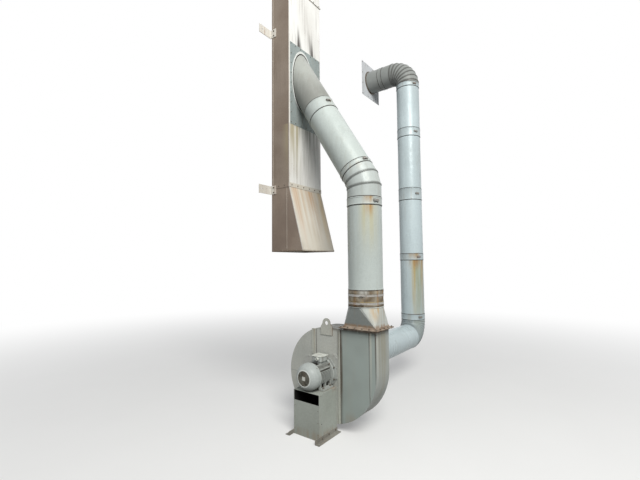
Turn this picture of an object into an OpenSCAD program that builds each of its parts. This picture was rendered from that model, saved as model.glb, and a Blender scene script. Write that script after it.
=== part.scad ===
// Direct-drive extraction fan on a sheet pedestal, with its suction line,
// its discharge line and the rectangular stack that the discharge enters.
// Millimetres. The shaft runs along +Y, away from the motor; the wall is at -X.
// The origin is on the floor, under the middle of the pedestal.

/* [Pedestal] */
// Width of the pedestal across the shaft
pedestal_w = 320; // [280:1:340]
// Length of the pedestal along the shaft
pedestal_l = 296; // [270:1:340]
// Height of the pedestal's top face
pedestal_h = 433; // [400:1:480]
// Sheet thickness of the pedestal
pedestal_t = 4; // [3:0.5:8]
// Height of the service window in the pedestal's front
window_h = 98; // [60:1:150]
// Radius of the small drain hole in the pedestal's right side
drain_r = 6; // [4:0.5:10]
// Level of the drain hole
drain_z = 150; // [100:1:200]
// Distance of the drain hole from the pedestal's front
drain_y = 40; // [30:1:80]
// Width of each foot rail
rail_w = 50; // [40:1:80]
// Height of each foot rail
rail_h = 40; // [30:1:60]
// Thickness of the foot rails
rail_t = 5; // [4:0.5:8]
// Length of foot rail that stands out past the pedestal's front
rail_front = 70; // [50:1:120]
// Radius of the anchor holes in the foot rails
anchor_r = 7; // [5:0.5:10]

/* [Motor] */
// Height of the shaft over the motor's feet
shaft_h = 132; // [125:1:150]
// Radius of the motor's finned frame, over the fins
frame_r = 122; // [110:1:126]
// Depth of the cooling fins
fin_d = 16; // [8:1:24]
// Thickness of each cooling fin
fin_t = 4; // [3:0.5:6]
// Number of fins on each side of the frame
fins_per_side = 11; // [7:1:12]
// Length of the finned frame
frame_l = 197; // [170:1:205]
// Thickness of the drive-end shield
shield_t = 20; // [12:1:30]
// Radius of the drive-end flange
flange_r = 168; // [150:1:172]
// Radius of the fan cowl
cowl_r = 133; // [125:1:134]
// Length of the fan cowl with its dome
cowl_l = 110; // [95:1:125]
// Length of the cowl's rounded front
dome_l = 85; // [60:1:90]
// Radius of the cowl's grille opening
grille_r = 73; // [60:1:76]
// Length of the terminal box along the shaft
box_l = 124; // [100:1:128]
// Width of the terminal box
box_w = 130; // [100:1:140]
// Height of the terminal box
box_h = 47; // [42:1:70]
// How far the terminal box sits to the right of the shaft
box_x = 18; // [0:1:30]
// Radius of the cable gland
gland_r = 18; // [12:1:20]

/* [Casing] */
// Width of the scroll casing along the shaft, over its plates
casing_w = 275; // [240:1:320]
// Thickness of the casing's plates and wrap
casing_t = 4; // [3:0.5:6]
// Radius of the scroll's upper left arc
arc_a_r = 502; // [490:1:510]
// Radius of the scroll's lower left arc
arc_b_r = 463; // [455:1:470]
// Radius of the scroll's lower right arc
arc_c_r = 572; // [565:1:580]
// How far the wrap's flat top lies over the shaft
casing_top = 451; // [451:1:470]
// Clear width of the outlet between its wrap walls
outlet_w = 352; // [340:1:356]
// Width of the long vertical bar on the motor-side plate
bar_w = 30; // [20:1:40]
// Distance of the long bar from the pedestal's side
bar_gap = 24; // [10:1:40]
// Thickness of the bars on the motor-side plate
bar_t = 8; // [5:0.5:12]
// Outward leg of the outlet's angle frames
angle_leg = 40; // [30:1:50]
// Upright leg of each angle frame
angle_h = 23; // [20:1:40]
// Height of the lifting lug over the casing
lug_h = 98; // [80:1:120]
// Radius of the lifting lug's eye
lug_eye_r = 20; // [15:0.5:25]

/* [Ducts] */
// Outer radius of the round ducts
duct_r = 178; // [170:1:178]
// Wall thickness of the round ducts
duct_t = 3; // [2:0.5:5]
// Height of the square-to-round transition over its collar
transition_h = 196; // [160:1:240]
// Height of the flexible sleeve over the transition
sleeve_h = 167; // [140:1:200]
// Level of the clamp that joins the riser to its elbow
riser_clamp_z = 2316; // [2200:1:2380]
// Level where the riser's axis meets the inclined duct's axis
corner_z = 2525; // [2490:1:2560]
// Lean of the inclined duct from vertical, in degrees
lean = 31.6; // [29:0.1:34]
// Bend radius of the elbow in the discharge line
elbow_rc = 355; // [320:1:380]
// Distance along the inclined duct from the corner to its upper clamp
upper_clamp_s = 1038; // [980:1:1080]
// Bend radius of the suction line's top elbow
top_elbow_rc = 268; // [250:1:300]
// Bend radius of the suction line's bottom elbow
bottom_elbow_rc = 230; // [220:1:270]
// Straight tail at each end of the suction line's elbows
bend_tail = 32; // [20:1:60]
// Distance of the suction riser's axis from the middle of the pedestal
suction_y = 2514; // [2350:1:2700]
// Level of the suction line's pass through the wall
spigot_z = 4843; // [4700:1:4950]
// Radial thickness of the clamp bands
band_t = 5; // [3:0.5:8]
// Height of the standing seams on the elbows
seam_h = 4; // [2:0.5:6]
// Wall thickness of the spigot that passes the wall
spigot_t = 5; // [4:0.5:8]
// Width of the tall clamp band on the inclined duct
upper_band_w = 145; // [100:1:160]
// Width of the two straps that hold the flexible sleeve
strap_w = 22; // [15:1:30]
// Distance of the lower strap from the sleeve's foot
strap_low = 34; // [25:1:45]
// Distance between the two straps
strap_pitch = 78; // [60:1:90]

/* [Stack] */
// Distance of the wall's face from the shaft
wall_x = 685; // [670:1:720]
// Gap between the stack and the wall
stack_gap = 20; // [15:1:40]
// Depth of the stack out from the wall
stack_d = 281; // [260:1:300]
// Width of the stack along the wall
stack_w = 583; // [560:1:620]
// Sheet thickness of the stack
stack_t = 4; // [3:0.5:6]
// Distance of the stack's middle from the middle of the pedestal
stack_y = 341.5; // [330:0.5:355]
// Level of the flared hood's mouth
hood_bottom_z = 1828; // [1750:1:1900]
// Level where the hood meets the stack
hood_top_z = 2559; // [2500:1:2600]
// How far the hood's mouth stands out past the stack's front
hood_flare = 197; // [150:1:240]
// Level of the joint between the stack's two lengths
stack_joint_z = 4980; // [4700:1:5100]
// Level of the stack's top
stack_top_z = 5600; // [5300:1:5800]
// How far the blanking panel's lower edge lies below the duct's entry
panel_drop = 563; // [480:1:600]
// Height of the blanking panel on the stack's front
panel_h = 974; // [900:1:1050]
// Thickness of the blanking panel and the wall plate
panel_t = 4; // [3:0.5:8]
// Side of the square wall plate
wall_plate_w = 590; // [560:1:640]
// Height of the stack's wall brackets
bracket_h = 100; // [70:1:120]
// How far the lower brackets' foot lies below the hood's joint
bracket_under_joint = 59; // [40:1:90]
// How far the upper brackets' foot lies below the stack's joint
bracket_under_top = 580; // [400:1:800]
// Width of the flange where the inclined duct enters the panel
entry_flange = 20; // [10:1:30]

/* [Hidden] */
$fn = 96;

// Overlap that makes a cut pass clean through a face
cut = 1;
// Gap between a band and the duct inside it
fit_gap = 0.3;
// Half angle that a standing seam covers round a bend
seam_half = 0.8;
// Length of the ring that a standing seam is cut from, to each side
seam_reach = 20;

motor_rail_t = 3;
shaft_z = pedestal_h + motor_rail_t + shaft_h;
plate_y = pedestal_l / 2;
casing_mid_y = plate_y + casing_w / 2;
casing_back_y = plate_y + casing_w;

// Arc centres of the scroll, from the shaft
arc_a_x = 40;
arc_a_z = -51;
arc_b_x = arc_a_x - arc_a_r + arc_b_r;
arc_b_z = arc_a_z;
arc_c_x = 47;
arc_c_z = arc_b_z - arc_b_r + arc_c_r;
casing_right = arc_c_x + arc_c_r;
outlet_right = casing_right;
outlet_left = casing_right - outlet_w - 2 * casing_t;
outlet_x = (outlet_left + outlet_right) / 2;
outlet_z = shaft_z + casing_top;
tongue_drop = 130;
shaft_hole_r = 45;

frame_z = outlet_z;
mating_z = frame_z + angle_h;
transition_z = mating_z + angle_h;
sleeve_z = transition_z + transition_h;
riser_z = sleeve_z + sleeve_h;

// A band runs over the duct ends at each joint
band_w = 80;
bead_w = 12;

wall_plane = -wall_x;
stack_back = wall_plane + stack_gap;
stack_front = stack_back + stack_d;
stack_y0 = stack_y - stack_w / 2;
stack_y1 = stack_y + stack_w / 2;
panel_front = stack_front + panel_t;
elbow_half = elbow_rc * tan(lean / 2);
axis_run = (duct_axis_x() - panel_front) / sin(lean);
entry_z = corner_z + axis_run * cos(lean);
panel_bottom_z = entry_z - panel_drop;

inlet_hole_r = duct_r - duct_t;
collar_l = 60;
bottom_run = bottom_elbow_rc + bend_tail;
top_run = top_elbow_rc + bend_tail;
bottom_start_z = shaft_z + bottom_run;
top_start_z = spigot_z - top_run;

function duct_axis_x() = outlet_x;

// Hollow round length along +Z
module tube(r, t, h) {
    difference() {
        cylinder(r = r, h = h);
        translate([0, 0, -cut]) cylinder(r = r - t, h = h + 2 * cut);
    }
}

// Band round a duct, with a rolled bead at each edge
module beaded_band(r, w, t, bead) {
    translate([0, 0, -w / 2]) tube(r + t / 2, t / 2, w);
    for (side = [-1, 1]) {
        translate([0, 0, side * (w - bead) / 2 - bead / 2]) tube(r + t, t, bead);
    }
}

// Lever latch that closes a band, at the angle given
module lever_latch(r, angle) {
    lever_l = 70;
    lever_h = 10;
    block_w = 34;
    block_l = 26;
    rotate([0, 0, angle]) {
        translate([r, -block_l / 2, -block_w / 2]) cube([14, block_l, block_w]);
        translate([r + 14, -lever_l / 2, -lever_h]) cube([6, lever_l, 2 * lever_h]);
    }
}

// Clamp band with its latch
module clamp_band(w, bead, angle) {
    beaded_band(duct_r + fit_gap, w, band_t, bead);
    lever_latch(duct_r + fit_gap, angle);
}

// Puts its children at an angle round a bend whose centre is at -rc on X
module on_bend(rc, angle) {
    translate([-rc, 0, 0]) rotate([0, -angle, 0]) translate([rc, 0, 0]) children();
}

// Wedge between two angles round the bend's centre
module bend_wedge(rc, from, to) {
    reach = 2 * (rc + duct_r);
    translate([-rc, 0, 0])
        rotate([90, 0, 0])
            linear_extrude(2 * duct_r + 2 * seam_reach, center = true)
                polygon([
                    [0, 0],
                    [reach * cos(from), reach * sin(from)],
                    [reach * cos(to), reach * sin(to)]
                ]);
}

// Elbow of straight gores, joined at each mitre by a standing seam that laps
// both. The bend starts at the origin along +Z and turns towards -X, and a
// straight tail may run on from either end.
module gored_elbow(rc, angle, mitres, tail_in = 0, tail_out = 0) {
    step = angle / mitres;
    gore_l = 2 * (rc + duct_r) * tan(step);
    beyond = 60;
    lap = seam_half / 2;
    for (i = [0 : mitres]) {
        below = i == 0 ? tail_in : gore_l / 2;
        above = i == mitres ? tail_out : gore_l / 2;
        low = i == 0 ? -beyond : (i - 0.5) * step + lap;
        high = i == mitres ? angle + beyond : (i + 0.5) * step - lap;
        intersection() {
            on_bend(rc, i * step) translate([0, 0, -below]) tube(duct_r, duct_t, below + above);
            bend_wedge(rc, low, high);
        }
    }
    for (i = [1 : mitres]) {
        mitre = (i - 0.5) * step;
        intersection() {
            on_bend(rc, mitre)
                translate([0, 0, -seam_reach]) tube(duct_r + seam_h, seam_h + duct_t + 1, 2 * seam_reach);
            bend_wedge(rc, mitre - seam_half, mitre + seam_half);
        }
    }
}

// Outline of the scroll in X and Z about the shaft, shrunk by the inset
module scroll_outline(inset) {
    big = 2 * arc_c_r;
    right = casing_right - inset;
    top = casing_top - inset;
    intersection() {
        translate([arc_a_x, arc_a_z]) circle(r = arc_a_r - inset);
        translate([arc_a_x - big, arc_a_z]) square([big, top - arc_a_z]);
    }
    intersection() {
        translate([arc_b_x, arc_b_z]) circle(r = arc_b_r - inset);
        translate([arc_b_x - big, arc_b_z - big]) square([big, big]);
    }
    intersection() {
        translate([arc_c_x, arc_c_z]) circle(r = arc_c_r - inset);
        translate([arc_c_x, arc_c_z - big]) square([big, big]);
    }
    polygon([
        [arc_b_x, arc_b_z - arc_b_r + inset],
        [arc_c_x, arc_b_z - arc_b_r + inset],
        [arc_c_x, arc_c_z],
        [right, arc_c_z],
        [right, top],
        [arc_a_x, top],
        [arc_a_x, arc_a_z],
        [arc_b_x, arc_b_z]
    ]);
}

// Slab of the scroll outline, from y0 for the thickness t along +Y
module scroll_slab(y0, t, inset) {
    translate([0, y0 + t, shaft_z]) rotate([90, 0, 0]) linear_extrude(t) scroll_outline(inset);
}

anchor_x = pedestal_w / 2 + rail_w / 2;
anchor_ys = [-plate_y - rail_front / 2, plate_y - rail_front / 2];

// Angle rails along the pedestal's sides, on the floor
module foot_rails() {
    rail_l = rail_front + pedestal_l;
    color("darkgray")
        for (side = [0, 1]) {
            mirror([side, 0, 0]) difference() {
                translate([pedestal_w / 2, -rail_front - plate_y, 0]) cube([rail_w, rail_l, rail_h]);
                translate([pedestal_w / 2 + rail_t, -rail_front - plate_y - cut, rail_t])
                    cube([rail_w, rail_l + 2 * cut, rail_h]);
                for (y = anchor_ys) {
                    translate([anchor_x, y, -cut]) cylinder(r = anchor_r, h = rail_t + 2 * cut);
                }
            }
        }
}

// Sheet that closes the pedestal's foot
module base_sheet() {
    color("silver")
        translate([-pedestal_w / 2 + pedestal_t, -plate_y + pedestal_t, 0])
            cube([pedestal_w - 2 * pedestal_t, pedestal_l - 2 * pedestal_t, pedestal_t]);
}

module pedestal_shell() {
    inner_w = pedestal_w - 2 * pedestal_t;
    inner_l = pedestal_l - 2 * pedestal_t;
    body_h = pedestal_h - pedestal_t;
    color("silver") difference() {
        translate([-pedestal_w / 2, -plate_y, 0]) cube([pedestal_w, pedestal_l, body_h]);
        translate([-inner_w / 2, -inner_l / 2, -cut]) cube([inner_w, inner_l, body_h + 2 * cut]);
        translate([-inner_w / 2, -plate_y - cut, body_h - window_h])
            cube([inner_w, pedestal_t + 2 * cut, window_h + cut]);
        translate([pedestal_w / 2 - pedestal_t - cut, -plate_y + drain_y, drain_z])
            rotate([0, 90, 0]) cylinder(r = drain_r, h = pedestal_t + 2 * cut);
    }
}

module pedestal_top() {
    color("silver")
        translate([-pedestal_w / 2, -plate_y, pedestal_h - pedestal_t])
            cube([pedestal_w, pedestal_l, pedestal_t]);
}

// Across the shaft, the motor's feet stand this far from the middle
foot_x = 108;
foot_w = 48;
foot_l = 170;
foot_t = 14;
motor_y1 = plate_y - 8;
frame_y1 = motor_y1 - shield_t;
frame_y0 = frame_y1 - frame_l;
foot_y0 = frame_y1 + 5 - foot_l;
foot_z = pedestal_h + motor_rail_t;
core_r = frame_r - fin_d;
cowl_t = 4;

module motor_rails() {
    rim = 4;
    color("gray")
        for (side = [0, 1]) {
            mirror([side, 0, 0])
                translate([foot_x - foot_w / 2 - rim, foot_y0 - rim, pedestal_h])
                    cube([foot_w + 2 * rim, plate_y - foot_y0 + rim, motor_rail_t]);
        }
}

box_y1 = frame_y1 - 2;
box_y0 = box_y1 - box_l;
box_base_z = shaft_z + frame_r + 10;
box_top_z = box_base_z + box_h;
lid_t = 8;
lid_edge = 6;

// Body with level fins on both sides, a smooth panel at each upper corner,
// ribbed feet, the pad that carries the terminal box, and at the back the disc
// that the cowl is seated on
module motor_frame() {
    fin_low = -66;
    fin_step = 11;
    panel_w = 64;
    panel_d = 12;
    rib_t = 10;
    rib_w = 28;
    pad_w = 84;
    pad_end = 10;
    disc_t = 24;
    color("lightgray") {
        translate([0, frame_y1, shaft_z]) rotate([90, 0, 0]) cylinder(r = core_r, h = frame_l);
        for (i = [0 : fins_per_side - 1]) {
            level = fin_low + i * fin_step;
            half = sqrt(frame_r * frame_r - level * level);
            translate([-half, frame_y0, shaft_z + level - fin_t / 2]) cube([2 * half, frame_l, fin_t]);
        }
        translate([0, frame_y0 + disc_t / 2, shaft_z])
            rotate([90, 0, 0]) cylinder(r = cowl_r - cowl_t - fit_gap, h = disc_t);
        for (side = [0, 1]) {
            mirror([side, 0, 0]) {
                translate([0, frame_y0, shaft_z]) rotate([0, -48, 0])
                    translate([core_r - fin_t, 0, -panel_w / 2]) cube([panel_d, frame_l, panel_w]);
                translate([foot_x - foot_w / 2, foot_y0, foot_z]) cube([foot_w, foot_l, foot_t]);
                for (i = [0 : 2]) {
                    translate([foot_x - foot_w / 2 - 8, foot_y0 + i * (foot_l - rib_t) / 2, foot_z + 2])
                        cube([rib_w, rib_t, shaft_h / 2]);
                }
            }
        }
        translate([box_x - pad_w / 2, box_y0 + pad_end, shaft_z + core_r - 20])
            cube([pad_w, box_l - 2 * pad_end, box_base_z - shaft_z - core_r + 20]);
    }
}

// Shield and flange, flat at the foot where they clear the pedestal
module drive_end_shield() {
    color("lightgray") difference() {
        translate([0, motor_y1, shaft_z]) rotate([90, 0, 0]) {
            cylinder(r = flange_r - 26, h = shield_t);
            cylinder(r = flange_r, h = shield_t / 2);
        }
        translate([-flange_r - cut, frame_y1 - cut, shaft_z - flange_r - cut])
            cube([2 * flange_r + 2 * cut, shield_t + 2 * cut, flange_r - shaft_h + 2 * cut]);
    }
}

front_r = grille_r + 4;

// Cowl outline revolved about its axis: straight at the back, and an arc from
// the rim to the front, worked out from the arc's length and depth
module cowl_solid(inset) {
    depth = cowl_r - front_r;
    bend = (dome_l * dome_l + depth * depth) / (2 * depth);
    r = cowl_r - inset;
    l = cowl_l - inset;
    rotate_extrude() {
        square([r, cowl_l - dome_l]);
        square([cowl_r - bend, l]);
        intersection() {
            translate([cowl_r - bend, cowl_l - dome_l]) circle(r = bend - inset);
            square([r, l]);
        }
    }
}

module fan_cowl() {
    color("gainsboro")
        translate([0, frame_y0, shaft_z])
            rotate([90, 0, 0])
                difference() {
                    cowl_solid(0);
                    cowl_solid(cowl_t);
                    translate([0, 0, -cut]) cylinder(r = cowl_r - cowl_t, h = 2 * cut);
                    cylinder(r = grille_r, h = cowl_l + cut);
                }
}

module cowl_grille() {
    ring_t = 4;
    color("dimgray")
        translate([0, frame_y0 - cowl_l + ring_t + 1, shaft_z])
            rotate([90, 0, 0]) {
                for (r = [30 : 13 : grille_r]) {
                    tube(r, ring_t, ring_t);
                }
                tube(grille_r - fit_gap, ring_t, ring_t);
                for (a = [0 : 45 : 135]) {
                    rotate([0, 0, a])
                        translate([-grille_r + 2, -ring_t / 2, 0]) cube([2 * grille_r - 4, ring_t, ring_t]);
                }
                translate([-19, -19, 0]) cube([38, 38, ring_t + 2]);
            }
}

// Plate outline with its corners cut off
module cut_corner_outline(w, l, corner) {
    polygon([
        [corner, 0], [w - corner, 0], [w, corner], [w, l - corner],
        [w - corner, l], [corner, l], [0, l - corner], [0, corner]
    ]);
}

module terminal_box() {
    color("gray")
        translate([box_x - box_w / 2, box_y0, box_base_z])
            linear_extrude(box_h) cut_corner_outline(box_w, box_l, 18);
}

module terminal_box_lid() {
    color("gainsboro")
        translate([box_x - box_w / 2 - lid_edge, box_y0 - lid_edge, box_top_z])
            linear_extrude(lid_t) cut_corner_outline(box_w + 2 * lid_edge, box_l + 2 * lid_edge, 24);
}

module cable_gland() {
    gland_l = 22;
    color("gainsboro")
        translate([box_x + 18, box_y0, box_top_z - gland_r - 1])
            rotate([90, 0, 0]) {
                difference() {
                    cylinder(r = gland_r, h = gland_l);
                    translate([0, 0, gland_l / 2]) cylinder(r = gland_r - 8, h = gland_l);
                }
            }
}

module casing_motor_plate() {
    color("silver") difference() {
        scroll_slab(plate_y, casing_t, 0);
        translate([0, plate_y + casing_t + cut, shaft_z])
            rotate([90, 0, 0]) cylinder(r = shaft_hole_r, h = casing_t + 2 * cut);
    }
}

module casing_inlet_plate() {
    color("silver") difference() {
        scroll_slab(casing_back_y - casing_t, casing_t, 0);
        translate([0, casing_back_y + cut, shaft_z])
            rotate([90, 0, 0]) cylinder(r = inlet_hole_r, h = casing_t + 2 * cut);
    }
}

// The wrap follows the outline, is open at the outlet, and turns down to the tongue
module scroll_wrap() {
    wrap_y = plate_y + casing_t;
    wrap_w = casing_w - 2 * casing_t;
    color("darkgray") {
        difference() {
            scroll_slab(wrap_y, wrap_w, 0);
            scroll_slab(wrap_y - cut, wrap_w + 2 * cut, casing_t);
            translate([outlet_left + casing_t, wrap_y - cut, outlet_z - 2 * casing_t])
                cube([outlet_w, wrap_w + 2 * cut, 3 * casing_t]);
        }
        translate([outlet_left, wrap_y, outlet_z - tongue_drop])
            cube([casing_t, wrap_w, tongue_drop - casing_t + cut]);
        translate([outlet_left + casing_t / 2, wrap_y + wrap_w, outlet_z - tongue_drop])
            rotate([90, 0, 0]) cylinder(r = 12, h = wrap_w);
    }
}

// Cover plate behind the motor: its top edge climbs to the right
cover_left = -276;
cover_left_high = 126;
cover_right_high = 197;
cover_corner = 28;
bar_left = pedestal_w / 2 + bar_gap;
cover_right = bar_left - 3;

// Height of the cover plate's top edge over the shaft, at the place x
function cover_top(x) =
    cover_left_high + (cover_right_high - cover_left_high)
        * (x - cover_left - cover_corner) / (cover_right - cover_left - 2 * cover_corner);

module motor_cover_plate() {
    low = -60;
    cover_t = 5;
    color("silver")
        translate([0, plate_y, shaft_z])
            rotate([90, 0, 0])
                linear_extrude(cover_t)
                    difference() {
                        polygon([
                            [cover_left, low],
                            [cover_right, low],
                            [cover_right, cover_right_high - cover_corner],
                            [cover_right - cover_corner, cover_right_high],
                            [cover_left + cover_corner, cover_left_high],
                            [cover_left, cover_left_high - 2 * cover_corner]
                        ]);
                        circle(r = shaft_hole_r);
                    }
}

// Welded flats: a long one beside the motor and a short one over the terminal box
module casing_bars() {
    short_x = -124;
    short_w = 56;
    short_z = cover_top(short_x + short_w / 2) + 2;
    bottom = arc_b_z - arc_b_r + 24;
    color("gainsboro") {
        translate([bar_left, plate_y - bar_t, shaft_z + bottom])
            cube([bar_w, bar_t, casing_top - bottom - 6]);
        translate([short_x - short_w / 2, plate_y - bar_t, shaft_z + short_z])
            cube([short_w, bar_t, casing_top - short_z - 24]);
    }
}

lug_x = 42;
eye_rim = 30;
eye_z = lug_h - lug_eye_r - eye_rim;

module lifting_lug() {
    half_w = 75;
    lug_t = 8;
    foot = 76;
    shoulder = 6;
    eye_r = lug_eye_r + eye_rim;
    color("gainsboro")
        translate([lug_x, plate_y, shaft_z + casing_top])
            rotate([90, 0, 0])
                linear_extrude(lug_t)
                    difference() {
                        union() {
                            translate([0, eye_z]) circle(r = eye_r);
                            polygon([
                                [-half_w, -foot], [half_w, -foot], [half_w, shoulder],
                                [eye_r - 2, eye_z], [2 - eye_r, eye_z], [-half_w, shoulder]
                            ]);
                        }
                        translate([0, eye_z]) circle(r = lug_eye_r);
                    }
}

// Angle frame round the outlet; the outward leg is at the top or the bottom
module angle_frame(z0, leg_on_top) {
    x0 = outlet_left - angle_leg;
    x1 = outlet_right + angle_leg;
    y0 = plate_y - angle_leg;
    y1 = casing_back_y + angle_leg;
    leg_t = 5;
    leg_z = leg_on_top ? z0 + angle_h - leg_t : z0;
    difference() {
        union() {
            translate([x0, y0, leg_z]) cube([x1 - x0, y1 - y0, leg_t]);
            translate([outlet_left - leg_t, plate_y - leg_t, z0])
                cube([outlet_right - outlet_left + 2 * leg_t, casing_w + 2 * leg_t, angle_h]);
        }
        translate([outlet_left, plate_y, z0 - cut])
            cube([outlet_right - outlet_left, casing_w, angle_h + 2 * cut]);
    }
}

module outlet_frame() {
    color("saddlebrown") angle_frame(frame_z, true);
}

module transition_frame() {
    color("saddlebrown") angle_frame(mating_z, false);
}

// Loft from the rectangular collar to the round duct
module loft(inset, extra) {
    w = outlet_right - outlet_left - 2 * inset;
    l = casing_w - 2 * inset;
    hull() {
        translate([-w / 2, -l / 2, -extra]) cube([w, l, 1]);
        translate([0, 0, transition_h - 1 + extra]) cylinder(r = duct_r - inset, h = 1, $fn = 48);
    }
}

module transition_hood() {
    w = outlet_right - outlet_left;
    wall = duct_t + 1;
    color("darkgray")
        translate([outlet_x, casing_mid_y, transition_z]) {
            difference() {
                union() {
                    loft(fit_gap, 0);
                    translate([-w / 2 + fit_gap, -casing_w / 2 + fit_gap, -angle_h])
                        cube([w - 2 * fit_gap, casing_w - 2 * fit_gap, angle_h + 1]);
                }
                loft(wall, cut);
                translate([-w / 2 + wall, -casing_w / 2 + wall, -angle_h - cut])
                    cube([w - 2 * wall, casing_w - 2 * wall, angle_h + cut]);
            }
            translate([0, 0, transition_h - bead_w]) tube(duct_r + band_t, band_t + 1, bead_w);
        }
}

module at_riser(z) {
    translate([outlet_x, casing_mid_y, z]) children();
}

module flexible_sleeve() {
    color("peru") at_riser(sleeve_z) tube(duct_r, duct_t, sleeve_h);
}

module sleeve_clamps() {
    color("silver") {
        for (z = [sleeve_z + strap_low, sleeve_z + strap_low + strap_pitch]) {
            at_riser(z) translate([0, 0, -strap_w / 2]) {
                tube(duct_r + fit_gap + band_t, band_t, strap_w);
                rotate([0, 0, -70]) translate([duct_r + fit_gap + 1, -16, 0]) cube([18, 32, strap_w]);
            }
        }
    }
}

module riser_duct() {
    color("silver") at_riser(riser_z) tube(duct_r, duct_t, riser_clamp_z - riser_z);
}

module riser_clamp() {
    color("gray") at_riser(riser_clamp_z) clamp_band(band_w, bead_w, -20);
}

// Frame of the inclined duct: its axis is +Z, from the corner
module on_incline(s) {
    translate([outlet_x, casing_mid_y, corner_z])
        rotate([0, -lean, 0]) translate([0, 0, s]) children();
}

elbow_tail = 70;

module lower_elbow() {
    bend_z = corner_z - elbow_half;
    color("silver")
        at_riser(bend_z) gored_elbow(elbow_rc, lean, 2, bend_z - riser_clamp_z, elbow_tail);
}

module elbow_clamp() {
    color("gray") on_incline(elbow_half + elbow_tail) clamp_band(50, bead_w, -20);
}

module inclined_duct() {
    start = elbow_half + elbow_tail;
    color("silver") on_incline(start) tube(duct_r, duct_t, upper_clamp_s - start);
}

module upper_clamp() {
    color("gray") on_incline(upper_clamp_s) clamp_band(upper_band_w, bead_w, -20);
}

// Last length, cut on the panel's face, with a flange that lies on the panel
module entry_piece() {
    flange_t = 3;
    reach = 2 * duct_r + axis_run - upper_clamp_s;
    color("silver") {
        difference() {
            on_incline(upper_clamp_s) tube(duct_r, duct_t, reach);
            translate([panel_front - axis_run, casing_mid_y - axis_run, entry_z - axis_run])
                cube([axis_run, 2 * axis_run, 2 * axis_run]);
        }
        intersection() {
            on_incline(upper_clamp_s) tube(duct_r + entry_flange, entry_flange + duct_t, reach);
            translate([panel_front, casing_mid_y - axis_run, entry_z - axis_run])
                cube([flange_t, 2 * axis_run, 2 * axis_run]);
        }
    }
}

module blanking_panel() {
    color("lightsteelblue") difference() {
        translate([stack_front, stack_y0 + 10, panel_bottom_z]) cube([panel_t, stack_w - 20, panel_h]);
        on_incline(upper_clamp_s) cylinder(r = duct_r - duct_t, h = 2 * axis_run);
    }
}

module stack_duct() {
    inner_d = stack_d - 2 * stack_t;
    inner_w = stack_w - 2 * stack_t;
    h = stack_joint_z - hood_top_z;
    color("rosybrown") difference() {
        translate([stack_back, stack_y0, hood_top_z]) cube([stack_d, stack_w, h]);
        translate([stack_back + stack_t, stack_y0 + stack_t, hood_top_z - cut])
            cube([inner_d, inner_w, h + 2 * cut]);
        intersection() {
            on_incline(upper_clamp_s) cylinder(r = duct_r - duct_t, h = 2 * axis_run);
            translate([stack_front - stack_t - cut, stack_y0, hood_top_z])
                cube([stack_t + 2 * cut, stack_w, h]);
        }
    }
}

module stack_top_length() {
    inner_d = stack_d - 2 * stack_t;
    inner_w = stack_w - 2 * stack_t;
    h = stack_top_z - stack_joint_z;
    lip = 12;
    color("rosybrown") difference() {
        union() {
            translate([stack_back, stack_y0, stack_joint_z]) cube([stack_d, stack_w, h]);
            translate([stack_back, stack_y0 - lip, stack_joint_z]) cube([stack_d + lip, stack_w + 2 * lip, 24]);
        }
        translate([stack_back + stack_t, stack_y0 + stack_t, stack_joint_z - cut])
            cube([inner_d, inner_w, h + 2 * cut]);
    }
}

// Side profile of the hood, with its front sloping out towards the mouth
module hood_profile(inset, over) {
    polygon([
        [stack_back + inset, hood_bottom_z - over],
        [stack_front + hood_flare - inset, hood_bottom_z - over],
        [stack_front + hood_flare - inset, hood_bottom_z],
        [stack_front - inset, hood_top_z],
        [stack_front - inset, hood_top_z + over],
        [stack_back + inset, hood_top_z + over]
    ]);
}

module stack_hood() {
    color("wheat") difference() {
        translate([0, stack_y1, 0]) rotate([90, 0, 0]) linear_extrude(stack_w) hood_profile(0, 0);
        translate([0, stack_y1 - stack_t, 0])
            rotate([90, 0, 0]) linear_extrude(stack_w - 2 * stack_t) hood_profile(stack_t, cut);
    }
}

// Strap round the joint between the stack and the hood, out from the brackets
module hood_strap() {
    strap_h = 50;
    strap_t = 4;
    back = wall_plane + bracket_leg + fit_gap;
    color("rosybrown") difference() {
        translate([back, stack_y0 - strap_t, hood_top_z])
            cube([stack_front + strap_t - back, stack_w + 2 * strap_t, strap_h]);
        translate([back - cut, stack_y0, hood_top_z - cut])
            cube([stack_front - back + cut, stack_w, strap_h + 2 * cut]);
    }
}

// Brackets hold the hood's joint and the top of the lower length
bracket_z = [hood_top_z - bracket_under_joint, stack_joint_z - bracket_under_top];
bracket_tab = 190;
bracket_hole_in = 45;
bracket_leg = 90;
bracket_t = 6;
bracket_hole_r = 7;

// Angle brackets: one leg on the wall, the other on the stack's side
module wall_brackets() {
    color("gainsboro")
        for (z = bracket_z) {
            for (side = [0, 1]) {
                translate([0, stack_y, z])
                    mirror([0, side, 0])
                        difference() {
                            union() {
                                translate([wall_plane, -stack_w / 2 - bracket_tab, 0])
                                    cube([bracket_t, bracket_tab, bracket_h]);
                                translate([wall_plane, -stack_w / 2 - bracket_t, 0])
                                    cube([bracket_leg, bracket_t, bracket_h]);
                            }
                            translate([wall_plane - cut, -stack_w / 2 - bracket_tab + bracket_hole_in, bracket_h / 2])
                                rotate([0, 90, 0]) cylinder(r = bracket_hole_r, h = bracket_t + 2 * cut);
                        }
            }
        }
}

module along_shaft(y) {
    translate([0, y, shaft_z]) rotate([-90, 0, 0]) children();
}

module inlet_collar() {
    color("silver") along_shaft(casing_back_y) {
        tube(duct_r + 40, 40 + duct_t, 8);
        tube(duct_r, duct_t, collar_l);
    }
}

module inlet_duct() {
    start = casing_back_y + collar_l;
    color("whitesmoke") along_shaft(start) tube(duct_r, duct_t, suction_y - bottom_run - start);
}

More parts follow.
